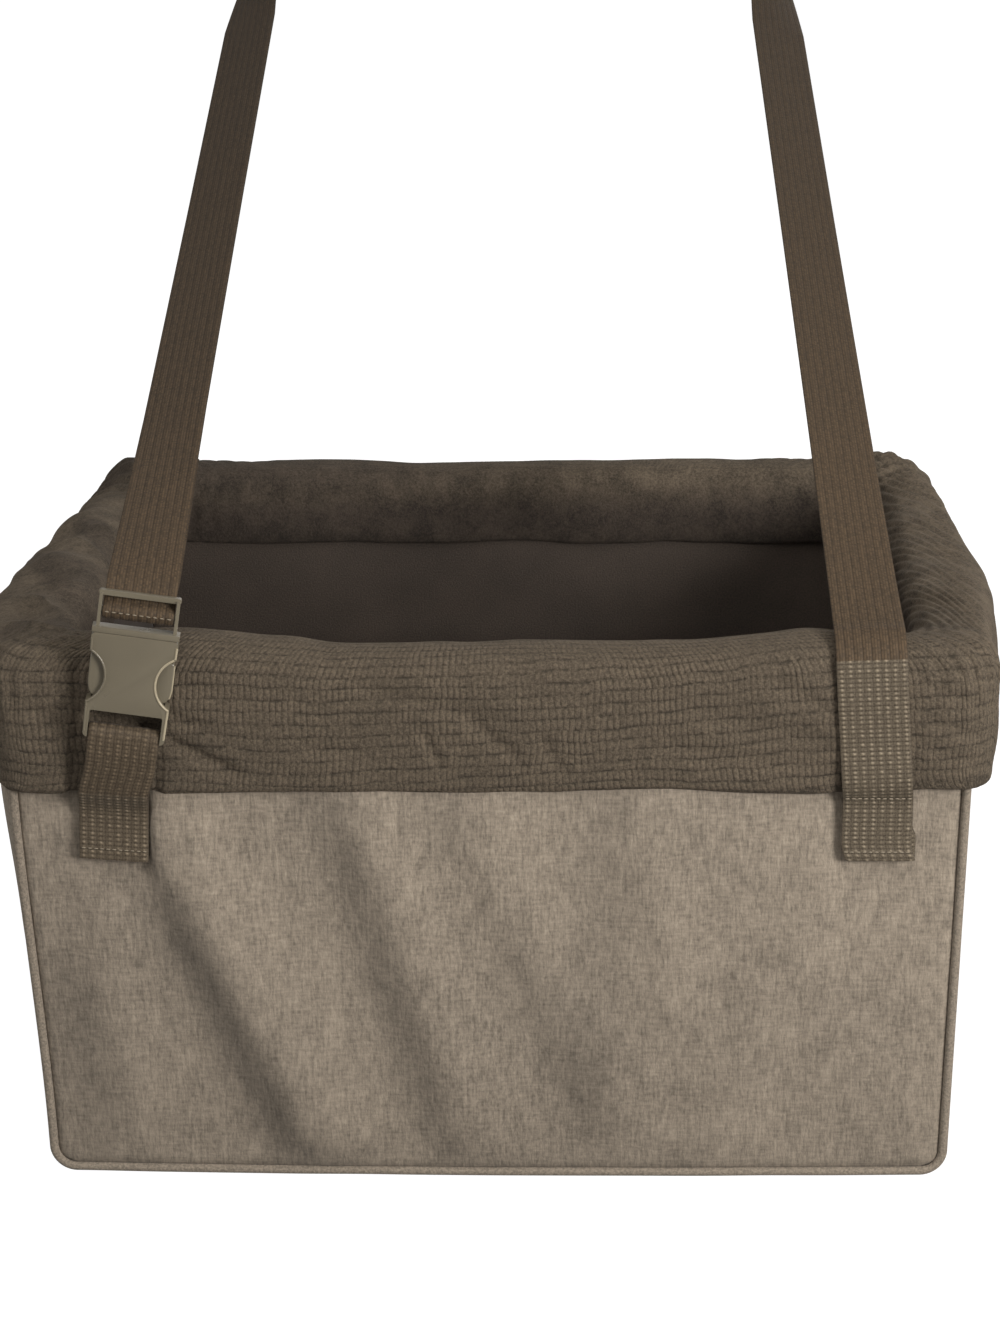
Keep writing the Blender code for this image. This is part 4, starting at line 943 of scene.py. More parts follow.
# Puckers of the collar's front: two ends (x, z), width and depth
COLLAR_PUCKERS = (
    ((-0.140, 0.2085), (-0.108, 0.1920), 0.0030, 0.0026),
    ((-0.142, 0.2200), (-0.118, 0.2120), 0.0032, 0.0013),
    ((-0.136, 0.2330), (-0.104, 0.2270), 0.0036, 0.0009),
    ((-0.030, 0.2140), (-0.021, 0.1950), 0.0026, 0.0014),
    ((-0.056, 0.2310), (0.004, 0.2170), 0.0042, 0.0012),
    ((-0.010, 0.2180), (0.012, 0.1990), 0.0036, 0.0018),
    ((0.022, 0.2100), (0.030, 0.1930), 0.0034, 0.0012),
    ((-0.084, 0.2060), (-0.050, 0.2000), 0.0032, 0.0008),
    ((0.086, 0.2200), (0.146, 0.2060), 0.0060, 0.0013),
    ((0.070, 0.2050), (0.146, 0.1950), 0.0050, 0.0012),
    ((0.120, 0.2340), (0.147, 0.2190), 0.0042, 0.0012),
    ((0.182, 0.2440), (0.212, 0.2340), 0.0026, 0.0008),
    ((0.182, 0.2330), (0.212, 0.2220), 0.0026, 0.0009),
    ((0.182, 0.2190), (0.212, 0.2070), 0.0028, 0.0009),
    ((0.182, 0.2060), (0.210, 0.1960), 0.0028, 0.0007),
    ((-0.174, 0.2450), (-0.170, 0.1900), 0.0040, 0.0020),
    ((-0.205, 0.2250), (-0.184, 0.2180), 0.0030, 0.0007),
)


def rim_columns(pitch):
    """For each column round the rim, its stretch (0 to 8) and its share of that stretch."""
    straight_x, straight_y, corner = 0.185, 0.260, 0.034
    half = (straight_x, corner, straight_y, corner)
    stretch, share = [], []
    for k, run in enumerate((*half, 2 * straight_x, *half[::-1])):
        count = max(4, round(run / pitch))
        stretch += [k] * count
        share += list(np.arange(count) / count)
    return np.array(stretch), np.array(share)


def rim_ring(half_x, half_y, radius, stretch, share):
    """Points round the rim from the middle of the rear, anticlockwise from above."""
    rx, ry = half_x - radius, half_y - radius
    x, y = np.zeros(len(stretch)), np.zeros(len(stretch))
    straights = {0: ((0, half_y), (-rx, half_y)), 2: ((-half_x, ry), (-half_x, -ry)),
                 4: ((-rx, -half_y), (rx, -half_y)), 6: ((half_x, -ry), (half_x, ry)),
                 8: ((rx, half_y), (0, half_y))}
    for k, ((x0, y0), (x1, y1)) in straights.items():
        on = stretch == k
        x[on], y[on] = x0 + (x1 - x0) * share[on], y0 + (y1 - y0) * share[on]
    for k, cx, cy, start in ((1, -rx, ry, 90), (3, -rx, -ry, 180), (5, rx, -ry, 270), (7, rx, ry, 0)):
        on = stretch == k
        turn = np.radians(start + 90 * share[on])
        x[on], y[on] = cx + radius * np.cos(turn), cy + radius * np.sin(turn)
    return x, y


# The cuff's section from the outer hem over the crest to the inner hem and back under:
# what it is measured from, distance out, height, corner radius, share of the crest's rise
COLLAR_SECTION = (
    ("cover", 0.0014, 0.1860, 0.004, 0.0),
    ("cover", 0.0030, 0.1832, 0.006, 0.0),
    ("cover", 0.0060, 0.1850, 0.012, 0.0),
    ("cover", 0.0072, 0.1930, 0.016, 0.0),
    ("cover", 0.0079, 0.2080, 0.017, 0.2),
    ("cover", 0.0078, 0.2240, 0.018, 0.5),
    ("cover", 0.0068, 0.2345, 0.019, 0.8),
    ("cover", 0.0040, 0.2405, 0.022, 1.0),
    ("cover", -0.0020, 0.2437, 0.023, 1.0),
    ("cover", -0.0095, 0.2450, 0.023, 1.0),
    ("lining", 0.0010, 0.2436, 0.020, 1.0),
    ("lining", -0.0040, 0.2382, 0.017, 0.9),
    ("lining", -0.0048, 0.2290, 0.015, 0.6),
    ("lining", -0.0040, 0.2180, 0.015, 0.2),
    ("lining", -0.0026, 0.2130, 0.013, 0.0),
    ("lining", -0.0012, 0.2122, 0.011, 0.0),
    ("lining", -0.0004, 0.2160, 0.009, 0.0),
    ("lining", -0.0004, 0.2384, 0.009, 0.0),
    ("cover", 0.0014, 0.2384, 0.004, 0.0),
)


def rim_noise(around, down, total):
    """Gives even noise that closes round the rim, for cells of a width and a height."""
    def noise(wide, high, seed):
        cells = round(total / wide)
        return ripple(around / total * cells, down / high, seed, cells)

    return noise


def plush_cells(around, down, total, plain):
    """The plush's cell coordinates (ribs along, rows down) and its height from 0 to 1."""
    settings = chosen("collar")
    noise = rim_noise(around, down, total)
    drift = 0.0016 * noise(0.040, 0.022, 41) + 0.0008 * noise(0.011, 0.010, 42)
    row = np.maximum(down + drift, 0) / settings.wale + 1
    ribs = round(total / settings.rib)
    along = around / total * ribs + 0.30 * noise(0.012, 0.012, 44)
    index = np.floor(row)
    gap = (1 - np.abs(np.cos(np.pi * (along + 0.12 * np.sin(2.4 * index))))) ** 2.2
    strength = np.clip(0.65 + 0.5 * noise(0.030, 0.022, 45), 0.15, 1)
    broken = np.clip(0.55 + 0.75 * noise(0.008, 0.0056, 46), 0.1, 1)
    groove = (np.abs(row - index - 0.5) * 2) ** 5 * broken
    height = (1 - 0.62 * groove * plain) * (1 - 0.42 * gap * strength * plain)
    return along, row, ribs, height


class BOOSTER_OT_collar(bpy.types.Operator):
    """Makes the padded plush collar that is turned over the rim"""

    bl_idname = "booster.collar"
    bl_label = "Collar"

    def execute(self, context):
        pitch, row_pitch = ((0.00075, 0.0009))
        columns = rim_columns(pitch)
        rings = [self.ring(section, *columns) for section in COLLAR_SECTION]
        surface, down = self.skinned(np.array(rings), row_pitch)
        self.let_hem_wander(surface)
        crest = surface[np.argmax(surface[:, 0, 2])]
        steps = np.linalg.norm(np.diff(crest, axis=0, append=crest[:1]), axis=1)
        total = steps.sum()
        around, down = np.meshgrid(np.concatenate([[0], np.cumsum(steps)[:-1]]), down)
        facing = self.visible(down)
        surface = surface + self.normals(surface) * self.relief(surface, around, down, total, facing)[..., None]
        # The plush's painted shade, kept as a field for its finish
        inner = self.inner(surface)
        plain = self.rows_show(surface, inner)
        front = smooth_step(0.140, 0.152, -surface[..., 1])
        slope = 0.045 * front * np.maximum(surface[..., 0] + 0.060, 0)
        along, row, ribs, height = plush_cells(around, down - slope, total, plain)
        pile = (height - 0.8) * chosen("collar").pile * facing
        surface = surface + self.normals(surface) * pile[..., None]
        rows, columns = surface.shape[:2]
        flat = surface.reshape(-1, 3)
        quads = grid_quads(rows, columns, True, True)
        cells = np.stack([along, row], -1).reshape(-1, 2)[quads]
        cells[columns - 1 :: columns, 1:3, 0] += ribs
        quads, maps = outwards(flat, quads, {"cells": cells})
        fields = {"rows": plain, "inner": inner}
        piece = add_mesh("collar_plush", flat, quads, finish("ribbed_plush"), maps, fields)
        place(piece, "basket", "ribbed_plush", "collar")
        return {"FINISHED"}

    def ring(self, section, stretch, share):
        """One ring of the cuff with its height, corners and the pull of its crest."""
        settings = chosen("collar")
        measured_from, out, z, radius, rise = section
        if measured_from == "cover":
            half_x, half_y = half_width(z) + out, HALF_DEPTH + out
        else:
            half_x, half_y = lining_x(z) - LINING_THICKNESS + out, LINING_Y - LINING_THICKNESS + out
        x, y = rim_ring(half_x, half_y, radius, stretch, share)
        side = smooth_step(0.55, 1.0, np.abs(x) / half_x)
        if measured_from == "cover" and out > 0.002:
            right = settings.side_bulge * bell(y + 0.020, 0.062)
            left = settings.left_bulge * bell(y + 0.075, 0.055) * rise
            left = left + settings.side_bulge * bell(y - 0.015, 0.050) * rise
            bulge = (np.where(x < 0, left, right) + 0.0015) * min(1, out / 0.006)
            x = x + np.sign(x) * side * (bulge + side_swell(y, np.float64(z), np.sign(x)))
        rear = np.where(x < 0, 1.3 * smooth_step(0.045, 0.10, y), smooth_step(0.075, 0.140, y))
        x = x - np.sign(x) * side * rear * settings.rear_draw * rise**3
        front = smooth_step(0, HALF_DEPTH, -y)
        lift = CREST_LIFT * smooth_step(0.055, 0.145, np.abs(x)) * front
        lift = lift + CREST_LIFT_AT_REAR * smooth_step(0, HALF_DEPTH, y)
        puff = bell(np.abs(x) - 0.188, 0.022) * smooth_step(0.09, 0.14, y)
        lift = lift + 0.0030 * puff
        sag = 0.0022 * side * fall(0.010, 0.060, np.abs(y + 0.105))
        return np.stack([x, y, z + rise * (lift - sag)], -1)

    def skinned(self, rings, row_pitch):
        """Rows of points at even steps along a closed curve through the rings."""
        count = len(rings)
        middle = rings[:, rings.shape[1] // 2]
        gaps = np.linalg.norm(np.roll(middle, -1, 0) - middle, axis=1)
        rows, down, far = [], [], 0.0
        for k in range(count):
            near = [rings[(k + i) % count] for i in (-1, 0, 1, 2)]
            knots = np.cumsum([0, *(math.sqrt(gaps[(k + i) % count]) for i in (-1, 0, 1))])
            underside = k >= count - 3
            steps = max(2, math.ceil(gaps[k] / (0.012 if underside else row_pitch)))
            for i in range(steps):
                rows.append(on_curve(near, knots, knots[1] + (knots[2] - knots[1]) * i / steps))
                down.append(far + gaps[k] * i / steps)
            far += gaps[k]
        return np.array(rows), np.array(down)

    def let_hem_wander(self, surface):
        x, y, z = np.moveaxis(surface, -1, 0)
        low = fall(0.186, 0.210, z)
        surface[..., 2] = z + low * 0.0010 * ripple(np.arctan2(y, x) * 0.23 / 0.05, np.zeros_like(z), 51)

    def normals(self, surface):
        """Outward normals of the closed skin."""
        down, along = (np.roll(surface, -1, axis) - np.roll(surface, 1, axis) for axis in (0, 1))
        normal = np.cross(down, along)
        normal /= np.linalg.norm(normal, axis=2, keepdims=True) + 1e-12
        top = np.unravel_index(np.argmax(surface[..., 2]), surface.shape[:2])
        return normal if normal[top][2] > 0 else -normal

    def visible(self, down):
        """1 on the outer, upper and inner faces, fading to 0 on the hidden underside."""
        last = down.max()
        return smooth_step(0.001, 0.004, down) * fall(last - 0.055, last - 0.050, down)

    def inner(self, surface):
        """From 0 to 1, the plush's painted shade: at the inner faces' foot, on the rear's left and in the
        left's hollows.
        """
        x, y, z = np.moveaxis(surface, -1, 0)
        inside = np.minimum(lining_x(WALL_TOP) + 0.004 - np.abs(x), LINING_Y + 0.004 - np.abs(y))
        foot = smooth_step(0.0, 0.006, inside) * fall(0.226, 0.252, z)
        shaded = 0.80 * smooth_step(0.110, 0.128, y) * fall(-0.140, 0.120, x)
        left = smooth_step(0.165, 0.185, -x) * smooth_step(0.205, 0.230, z) * smooth_step(-0.140, -0.115, y)
        hollow = left * smooth_step(0.05, 0.55, ripple(y / 0.032 + 3, (x + 0.5 * y) / 0.020 + 9, 64)) * 0.60
        return np.maximum(np.maximum(foot, shaded), hollow)

    def rows_show(self, surface, inner):
        """How clearly the plush's rows show: best on the front, hardly at the sides' gathers."""
        x, y, z = np.moveaxis(surface, -1, 0)
        front = smooth_step(0.128, 0.146, -y)
        rear = smooth_step(0.120, 0.135, y) * 0.45
        low = fall(0.225, 0.240, z) * (np.abs(x) > 0.2) * 0.8
        return np.maximum(np.maximum(front, rear), np.maximum(low, 0.12)) * (1 - 0.6 * inner)

    def relief(self, surface, around, down, total, facing):
        """Puckers, gathers and soft unevenness along the normal."""
        settings = chosen("collar")
        noise = rim_noise(around, down, total)
        x, y, z = np.moveaxis(surface, -1, 0)
        beside = np.abs(x)
        front = smooth_step(0.140, 0.152, -y)
        relief = -ridges(x, z, COLLAR_PUCKERS) * front
        corner = np.minimum(np.hypot(beside - 0.200, y - 0.150), np.hypot(beside - 0.205, y + 0.150) + 0.030)
        pull = bell(corner, 0.045) * smooth_step(0.200, 0.236, z)
        uneven = 2.2 * ripple(around / 0.03, down / 0.03, 52)
        gathers = np.sin(2 * np.pi * around / settings.gather_pitch + uneven)
        relief += settings.gather_depth * pull * gathers * (0.6 + 0.4 * ripple(around / 0.02, down / 0.02, 53))
        inwards = fall(0.003, 0.016, beside - 0.204)
        pleated = smooth_step(0.150, 0.175, beside) * inwards * smooth_step(0.222, 0.236, z)
        pleated = pleated * smooth_step(-0.140, -0.120, y) * smooth_step(0.120, 0.150, x)
        slanting = (around - 2.0 * down) / (1.5 * settings.gather_pitch)
        fine = np.sin(2 * np.pi * slanting + 2.6 * noise(0.030, 0.03, 57))
        relief += 0.0012 * pleated * fine * (0.6 + 0.5 * noise(0.020, 0.02, 58))
        relief += 0.0011 * noise(0.042, 0.030, 54)
        relief += 0.0005 * noise(0.016, 0.014, 55)
        side = smooth_step(0.190, 0.200, beside) * smooth_step(0.215, 0.240, z)
        relief += side * 0.0006 * ripple(y / 0.028 + 7, z / 0.05, 56)
        slack = smooth_step(0.170, 0.190, -x) * smooth_step(0.205, 0.230, z) * smooth_step(-0.150, -0.125, y)
        crumple = 1 - 2.2 * np.abs(ripple(y / 0.040 + 2, down / 0.024 + y / 0.05 + 9, 62))
        over = 1 - 0.75 * smooth_step(0.206, 0.220, -x)
        relief += slack * over * (0.0030 * crumple + 0.0020 * ripple(y / 0.018 + 5, down / 0.014, 63))
        under = self.under_webbing(x, z) * front
        return (relief * (1 - under) - 0.0006 * under) * facing

    def under_webbing(self, x, z):
        """1 where the right strap, the buckle or its loop lies on the collar's front."""
        rise = z - OUTER_HEM_Z
        strap = fall(0.0165, 0.0215, np.abs(x - (PATCH_X - 0.07 * rise)))
        buckle = fall(0.0180, 0.0230, np.abs(x - (-0.1630 + 0.17 * rise)))
        return np.maximum(strap, buckle)


# Cushion

class BOOSTER_OT_cushion(bpy.types.Operator):
    """Makes the loose floor cushion, swelled by a cloth simulation"""

    bl_idname = "booster.cushion"
    bl_label = "Cushion"

    def execute(self, context):
        low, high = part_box("floor_cushion")
        middle, half, slack = (low + high) / 2, (high - low) / 2, 0.010
        form = bmesh.new()
        bmesh.ops.create_cube(form, size=1)
        bmesh.ops.subdivide_edges(form, edges=form.edges, cuts=6, use_grid_fill=True)
        for vertex in form.verts:
            x, y, z = (2 * c for c in vertex.co)
            crown = (1 - 0.75 * x**4) * (1 - 0.75 * y**4)
            drawn = 1 - 0.022 * (1 - abs(x) ** 2) * (abs(y) > 0.99)
            drawn = drawn - 0.022 * (1 - abs(y) ** 2) * (abs(x) > 0.99)
            round_off = 1 - 0.10 * (abs(x) * abs(y)) ** 8
            vertex.co.x = middle.x + x * (half.x - slack) * round_off * drawn
            vertex.co.y = middle.y + y * (half.y - slack) * round_off * drawn
            rise = 0.3 + 0.7 * crown if z > 0 else 1.0
            vertex.co.z = low.z + 0.004 + (z + 1) / 2 * (2 * half.z - slack) * rise
        data = bpy.data.meshes.new("cushion_plush")
        form.to_mesh(data)
        form.free()
        piece = add_object("cushion_plush", data)
        soft = piece.modifiers.new("Rounded", "SUBSURF")
        soft.levels = soft.render_levels = 2
        voxels = piece.modifiers.new("Voxels", "REMESH")
        voxels.mode = "VOXEL"
        voxels.voxel_size = 0.006
        piece = settle(piece)
        self.swell(piece, low, high)
        fine = piece.modifiers.new("Finer", "SUBSURF")
        fine.levels = fine.render_levels = 1
        piece = settle(piece)
        dress(piece.data, finish("cushion_plush"))
        place(piece, "cushion", "ribbed_plush", "floor_cushion")
        return {"FINISHED"}

    def swell(self, piece, low, high):
        """Blows the cushion up as cloth, kept within its solid's box and flat below."""
        start = np.array([vertex.co for vertex in piece.data.vertices])
        cloth = piece.modifiers.new("Cloth", "CLOTH")
        cloth.settings.use_pressure = True
        cloth.settings.uniform_pressure_force = 4
        cloth.settings.effector_weights.gravity = 0
        cloth.settings.quality = 5
        scene = bpy.context.scene
        for frame in range(1, 21):
            scene.frame_set(frame)
        graph = bpy.context.evaluated_depsgraph_get()
        held = piece.evaluated_get(graph).to_mesh()
        end = np.array([vertex.co for vertex in held.vertices])
        piece.evaluated_get(graph).to_mesh_clear()
        piece.modifiers.remove(cloth)
        scene.frame_set(1)
        moved = end - start
        far = np.linalg.norm(moved, axis=1, keepdims=True)
        farthest, margin = 0.009, 0.0004
        moved *= np.minimum(1, farthest / np.maximum(far, 1e-9))
        placed = np.clip(start + moved, np.array(low) + margin, np.array(high) - margin)
        piece.data.vertices.foreach_set("co", placed.astype(np.float32).ravel())


# Webbing

def across_front(lean):
    return Vector((math.cos(lean), 0, -math.sin(lean)))


def buckle_matrix():
    """From the buckle's u, v and n to the seat."""
    up = Vector((math.sin(BUCKLE_LEAN), math.sin(BUCKLE_TILT), math.cos(BUCKLE_LEAN))).normalized()
    front = Vector((math.sin(BUCKLE_TURN), -math.cos(BUCKLE_TURN), 0))
    front = (front - up * front.dot(up)).normalized()
    matrix = Matrix((up.cross(front), up, front)).transposed().to_4x4()
    matrix.translation = BUCKLE_BASE
    return matrix


def on_buckle(v, n):
    return buckle_matrix() @ Vector((0, v, n))


def arc(centre, radius, start, end, steps):
    angles = [math.radians(start + (end - start) * i / steps) for i in range(steps + 1)]
    return [(centre[0] + radius * math.cos(a), centre[1] + radius * math.sin(a)) for a in angles]


def strap_run(start, side):
    """Stations from the rim to the far side of a corner round the headrest."""
    end = Vector((HEADREST_CENTRE_X + side * STRAP_TOP_X, RUN_END_Y, RUN_END_Z))
    along = (end - start).normalized()
    inwards = Vector((-side, 0, 0))
    edge_on = inwards.cross(along).normalized()
    flat = edge_on.cross(along).normalized() * side
    stations = []
    for share, degrees in TWIST:
        turn = math.radians(degrees)
        stations.append((start.lerp(end, share), flat * math.cos(turn) + edge_on * math.sin(turn)))
    for degrees in BEND_DEGREES:
        turn = math.radians(degrees)
        bend = inwards * (1 - math.cos(turn)) + along * math.sin(turn)
        stations.append((end + bend * HEADREST_RADIUS, edge_on))
    return stations


def left_run_start():
    return on_buckle(PLUG_END + 0.0042, -0.0095)


def right_stations():
    """From the sewn patch on the right, over the rim and round behind the headrest."""
    face_y = COLLAR_FRONT_Y - 0.0003 - 0.0004 - WEBBING_THICKNESS / 2
    straight, lean = across_front(0), across_front(math.radians(-2))
    centre = (PATCH_REAR_Y - FOLD_RADIUS, PATCH_BOTTOM_Z + WEBBING_THICKNESS / 2 + FOLD_RADIUS)
    under = PATCH_X + 0.0015
    stations = [((PATCH_X, PATCH_REAR_Y, OUTER_HEM_Z - 0.0025), straight),
                ((PATCH_X + 0.0003, PATCH_REAR_Y, PATCH_BOTTOM_Z + 0.0150), straight),
                ((under, PATCH_REAR_Y, PATCH_BOTTOM_Z + 0.0120), straight)]
    stations += [((under, y, z), straight) for y, z in arc(centre, FOLD_RADIUS, 0, -120, 4)]
    stations += [
        ((PATCH_X, PATCH_FRONT_Y, PATCH_BOTTOM_Z + 5 * FOLD_RADIUS), straight),
        ((PATCH_X, PATCH_FRONT_Y, OUTER_HEM_Z - 0.0110), straight),
        ((PATCH_X, PATCH_FRONT_Y - 2 * LAYER_GAP, OUTER_HEM_Z - 0.0030), straight),
        ((PATCH_X - 0.0006, face_y, OUTER_HEM_Z + 0.0050), lean),
        ((PATCH_X - 0.0020, face_y, OUTER_HEM_Z + 0.0250), lean),
        ((PATCH_X - 0.0036, face_y, CREST_Z - 0.0130), lean),
        ((PATCH_X - 0.0043, face_y + 0.00175, CREST_Z + 0.0010), lean),
        ((PATCH_X - 0.0047, -HALF_DEPTH + 0.0010, CREST_Z + CREST_LIFT + 0.0022), lean),
    ]
    stations += strap_run(RIGHT_RUN_START, 1)
    meets, edge_on = strap_run(left_run_start(), -1)[-1]
    stations.append((Vector((STRAPS_JOIN_X, meets.y, meets.z)), -edge_on))
    return stations


def left_stations():
    """From behind the headrest down to the plug, round its ladder bar, and the free tail."""
    on_plug = buckle_matrix().col[0].xyz
    gap = WEBBING_THICKNESS / 2 + LAYER_GAP
    round_n, round_v = LADDER_HALF_N + gap, LADDER_HALF_V + gap
    behind = PLUG_REAR + gap + 0.0003
    run_start = left_run_start()
    run = strap_run(run_start, -1)
    meets, edge_on = run[-1]
    stations = [(Vector((STRAPS_JOIN_X, meets.y, meets.z)), edge_on), *reversed(run[1:]), (run_start, on_plug)]
    over, under = LADDER_BAR_AT + round_v, LADDER_BAR_AT - round_v
    round_the_bar = (
        (PLUG_END + 0.0012, -behind - 0.0022), (PLUG_END - 0.0012, -behind), (over + 0.0012, -round_n * 0.55),
        (LADDER_BAR_AT + round_v * 0.72, round_n * 0.80), (LADDER_BAR_AT, round_n * 1.15),
        (LADDER_BAR_AT - round_v * 0.72, round_n * 0.80), (under - 0.0006, -round_n * 0.70),
        (under + 0.0010, -behind - 0.0016), (LADDER_BAR_AT + 0.0035, -behind - 0.0030),
        (PLUG_END - 0.0016, -behind - 0.0036))
    stations += [(on_buckle(v, n), on_plug) for v, n in round_the_bar]
    run_end = run[len(TWIST) - 1][0]
    along = (run_end - run_start).normalized()
    below = Vector((0, along.z, -along.y)).normalized() * (WEBBING_THICKNESS + 3 * LAYER_GAP)
    first_turn = (run_end - run_start).length * TWIST[1][0]
    for share in (0.06, 0.5, 1.0):
        distance = TAIL_LENGTH * share
        turned = on_plug.lerp(run[1][1], distance / first_turn)
        stations.append((run_start + along * distance + below, turned))
    return stations


def loop_stations():
    """From the left patch round the socket's end bar and back down."""
    slight, leaning = across_front(math.radians(4)), buckle_matrix().col[0].xyz
    centre_v = END_BAR / 2
    wrap = centre_v * math.sqrt(2) + LAYER_GAP + WEBBING_THICKNESS / 2 + 0.0001
    face_y = COLLAR_FRONT_Y - 0.0004 - WEBBING_THICKNESS / 2
    front_y = face_y - WEBBING_THICKNESS - 2 * LAYER_GAP
    x = -PATCH_X + 0.0022
    return [
        ((x - 0.0008, PATCH_REAR_Y, PATCH_BOTTOM_Z + 0.0020), slight),
        ((x, PATCH_REAR_Y, OUTER_HEM_Z - 0.0075), slight),
        ((x + 0.0010, face_y, OUTER_HEM_Z + 0.0015), slight),
        (on_buckle(-0.0120, -wrap * 0.95), leaning),
        *((on_buckle(v, n), leaning) for n, v in arc((0, centre_v), wrap, 180, 0, 6)),
        (on_buckle(-0.0050, wrap * 0.80), leaning),
        (on_buckle(-0.0130, wrap * 0.10), leaning),
        ((x + 0.0010, front_y, OUTER_HEM_Z + 0.0015), slight),
        ((x, PATCH_FRONT_Y - 0.0003, OUTER_HEM_Z - 0.0085), slight),
        ((x - 0.0010, PATCH_FRONT_Y - 0.0003, PATCH_BOTTOM_Z), slight),
    ]


def webbing(name, stations, step, coarse):
    """Woven webbing along stations. coarse tells from its points where the sewn, coarse weave is."""
    settings = chosen("webbing")
    path, where = smooth_path([point for point, _ in stations], step)
    centre = np.array([tuple(point) for point in path])
    sides = np.array([tuple(Vector(side)) for _, side in stations])
    k = np.minimum(np.array(where).astype(int), len(stations) - 2)
    share = (np.array(where) - k)[:, None]
    across = sides[k] * (1 - share) + sides[k + 1] * share
    along = np.gradient(centre, axis=0)
    along /= np.linalg.norm(along, axis=1, keepdims=True)
    through = np.cross(along, across)
    through /= np.linalg.norm(through, axis=1, keepdims=True)
    run = np.concatenate([[0], np.cumsum(np.linalg.norm(np.diff(centre, axis=0), axis=1))])[:, None]
    columns = 4 * settings.ribs + 1
    share_across = np.linspace(-1, 1, columns)[None, :]
    rough = filled(coarse(centre)[:, None], share_across)
    ribs = np.abs(np.sin(np.pi * settings.ribs * (share_across + 1) / 2)) ** 0.8
    picks = np.abs(np.sin(np.pi * filled(run, share_across) / settings.coarse_pitch)) ** 0.8
    relief = settings.rib_height * ribs * (1 - rough)
    relief = relief + (settings.coarse_height * ribs * picks + 0.00035) * rough
    edge = np.sqrt(1 - 0.75 * np.abs(share_across) ** 14)
    half = (WEBBING_THICKNESS / 2 - 0.0002) * edge
    middle = centre[:, None] + (across * WEBBING_HALF)[:, None, :] * share_across[..., None]
    front, back = (middle + side * through[:, None, :] * (half + relief * edge * part)[..., None]
                   for side, part in ((1, 0.9), (-1, 0.4)))
    loop = np.concatenate([front, back[:, ::-1]], 1)
    rows, count = loop.shape[:2]
    i = np.arange(columns - 1)
    start = np.stack([i + 1, i, count - 1 - i, count - 2 - i], -1)
    end = start[:, ::-1] + (rows - 1) * count
    quads = np.concatenate([grid_quads(rows, count, False, True), start, end])
    flat = loop.reshape(-1, 3)
    both_ways = np.concatenate([share_across, share_across[:, ::-1]], 1)
    weave = np.broadcast_arrays(both_ways * settings.ribs / 2 + 8 * settings.ribs, run / settings.coarse_pitch)
    weave = np.stack(weave, -1).reshape(-1, 2)
    fields = {"coarse": np.concatenate([rough, rough], 1)}
    quads, maps = outwards(flat, quads, {"weave": weave[quads]})
    return add_mesh(name, flat, quads, finish("webbing_brown"), maps, fields, sharp=60)


class BOOSTER_OT_straps(bpy.types.Operator):
    """Makes the webbing straps and the buckle's loop"""

    bl_idname = "booster.straps"
    bl_label = "Straps"

    def execute(self, context):
        fine = 0.0007

        def sewn(points):
            return ((points[:, 2] < 0.2442) & (points[:, 1] < -0.14)) * 0.88

        def turned(points):
            return np.zeros(len(points))

        # The loop shows less of the pale coarse weave, least above the hem: painted shade beside the buckle
        def looped(points):
            return np.where(points[:, 2] < OUTER_HEM_Z + 0.002, 0.70, 0.45)

        right = webbing("strap_right", right_stations(), fine, sewn)
        place(right, "basket", "webbing_brown", "headrest_strap")
        loop = webbing("strap_loop", loop_stations(), fine, looped)
        place(loop, "basket", "webbing_brown", "buckle_loop")
        left = webbing("strap_left", left_stations(), fine, turned)
        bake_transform(left)
        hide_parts("strap_buckle_run")
        return {"FINISHED"}


class BOOSTER_OT_stitches(bpy.types.Operator):
    """Sews the patches and the strap's turn with rows of stitches"""

    bl_idname = "booster.stitches"
    bl_label = "Stitches"

    def execute(self, context):
        upper, lower = OUTER_HEM_Z, PATCH_BOTTOM_Z
        rows = []
        for x, out, z, lean in ((PATCH_X, 0.0031, upper - 0.0012, 0), (PATCH_X, 0.0009, lower + 0.0045, 0),
                                (-PATCH_X + 0.0028, 0.0035, upper - 0.0005, 4),
                                (-PATCH_X + 0.0016, 0.0012, lower + 0.0050, 4)):
            middle = Vector((x, PATCH_FRONT_Y - out, z))
            rows.append(self.row(middle, across_front(math.radians(lean)), STITCHES_HALF))
        place(stitches("patch_stitches", rows, THREAD), "basket", "webbing_brown")
        out = LADDER_HALF_N + 2.1 * WEBBING_THICKNESS / 2 + LAYER_GAP + 0.00095
        row = self.row(on_buckle(LADDER_BAR_AT + 0.0004, out), buckle_matrix().col[0].xyz, 0.0130)
        place(stitches("turn_stitches", [row], 0.00050), "plug", "webbing_brown")
        return {"FINISHED"}

    def row(self, middle, side, half):
        return [tuple(middle + side * s) for s in np.linspace(-half, half, 12)]


# Buckle

def outline_form(outline, low, high):
    """A bmesh prism on an outline of (u, v) points."""
    form = bmesh.new()
    lower = [form.verts.new((u, v, low)) for u, v in outline]
    upper = [form.verts.new((u, v, high)) for u, v in outline]
    form.faces.new(lower)
    form.faces.new(upper)
    for i in range(len(lower)):
        j = (i + 1) % len(lower)
        form.faces.new((lower[i], lower[j], upper[j], upper[i]))
    bmesh.ops.recalc_face_normals(form, faces=form.faces)
    return form


def box_form(low, high):
    (u0, v0, n0), (u1, v1, n1) = low, high
    return outline_form(((u0, v0), (u1, v0), (u1, v1), (u0, v1)), n0, n1)


def rounded_outline(half_u, low_v, high_v, radius, steps=8):
    points = []
    for u, v, start in ((half_u, high_v, 0), (-half_u, high_v, 90),
                        (-half_u, low_v, 180), (half_u, low_v, 270)):
        centre = (u - math.copysign(radius, u), v - radius if v == high_v else v + radius)
        points += arc(centre, radius, start, start + 90, steps)
    return points


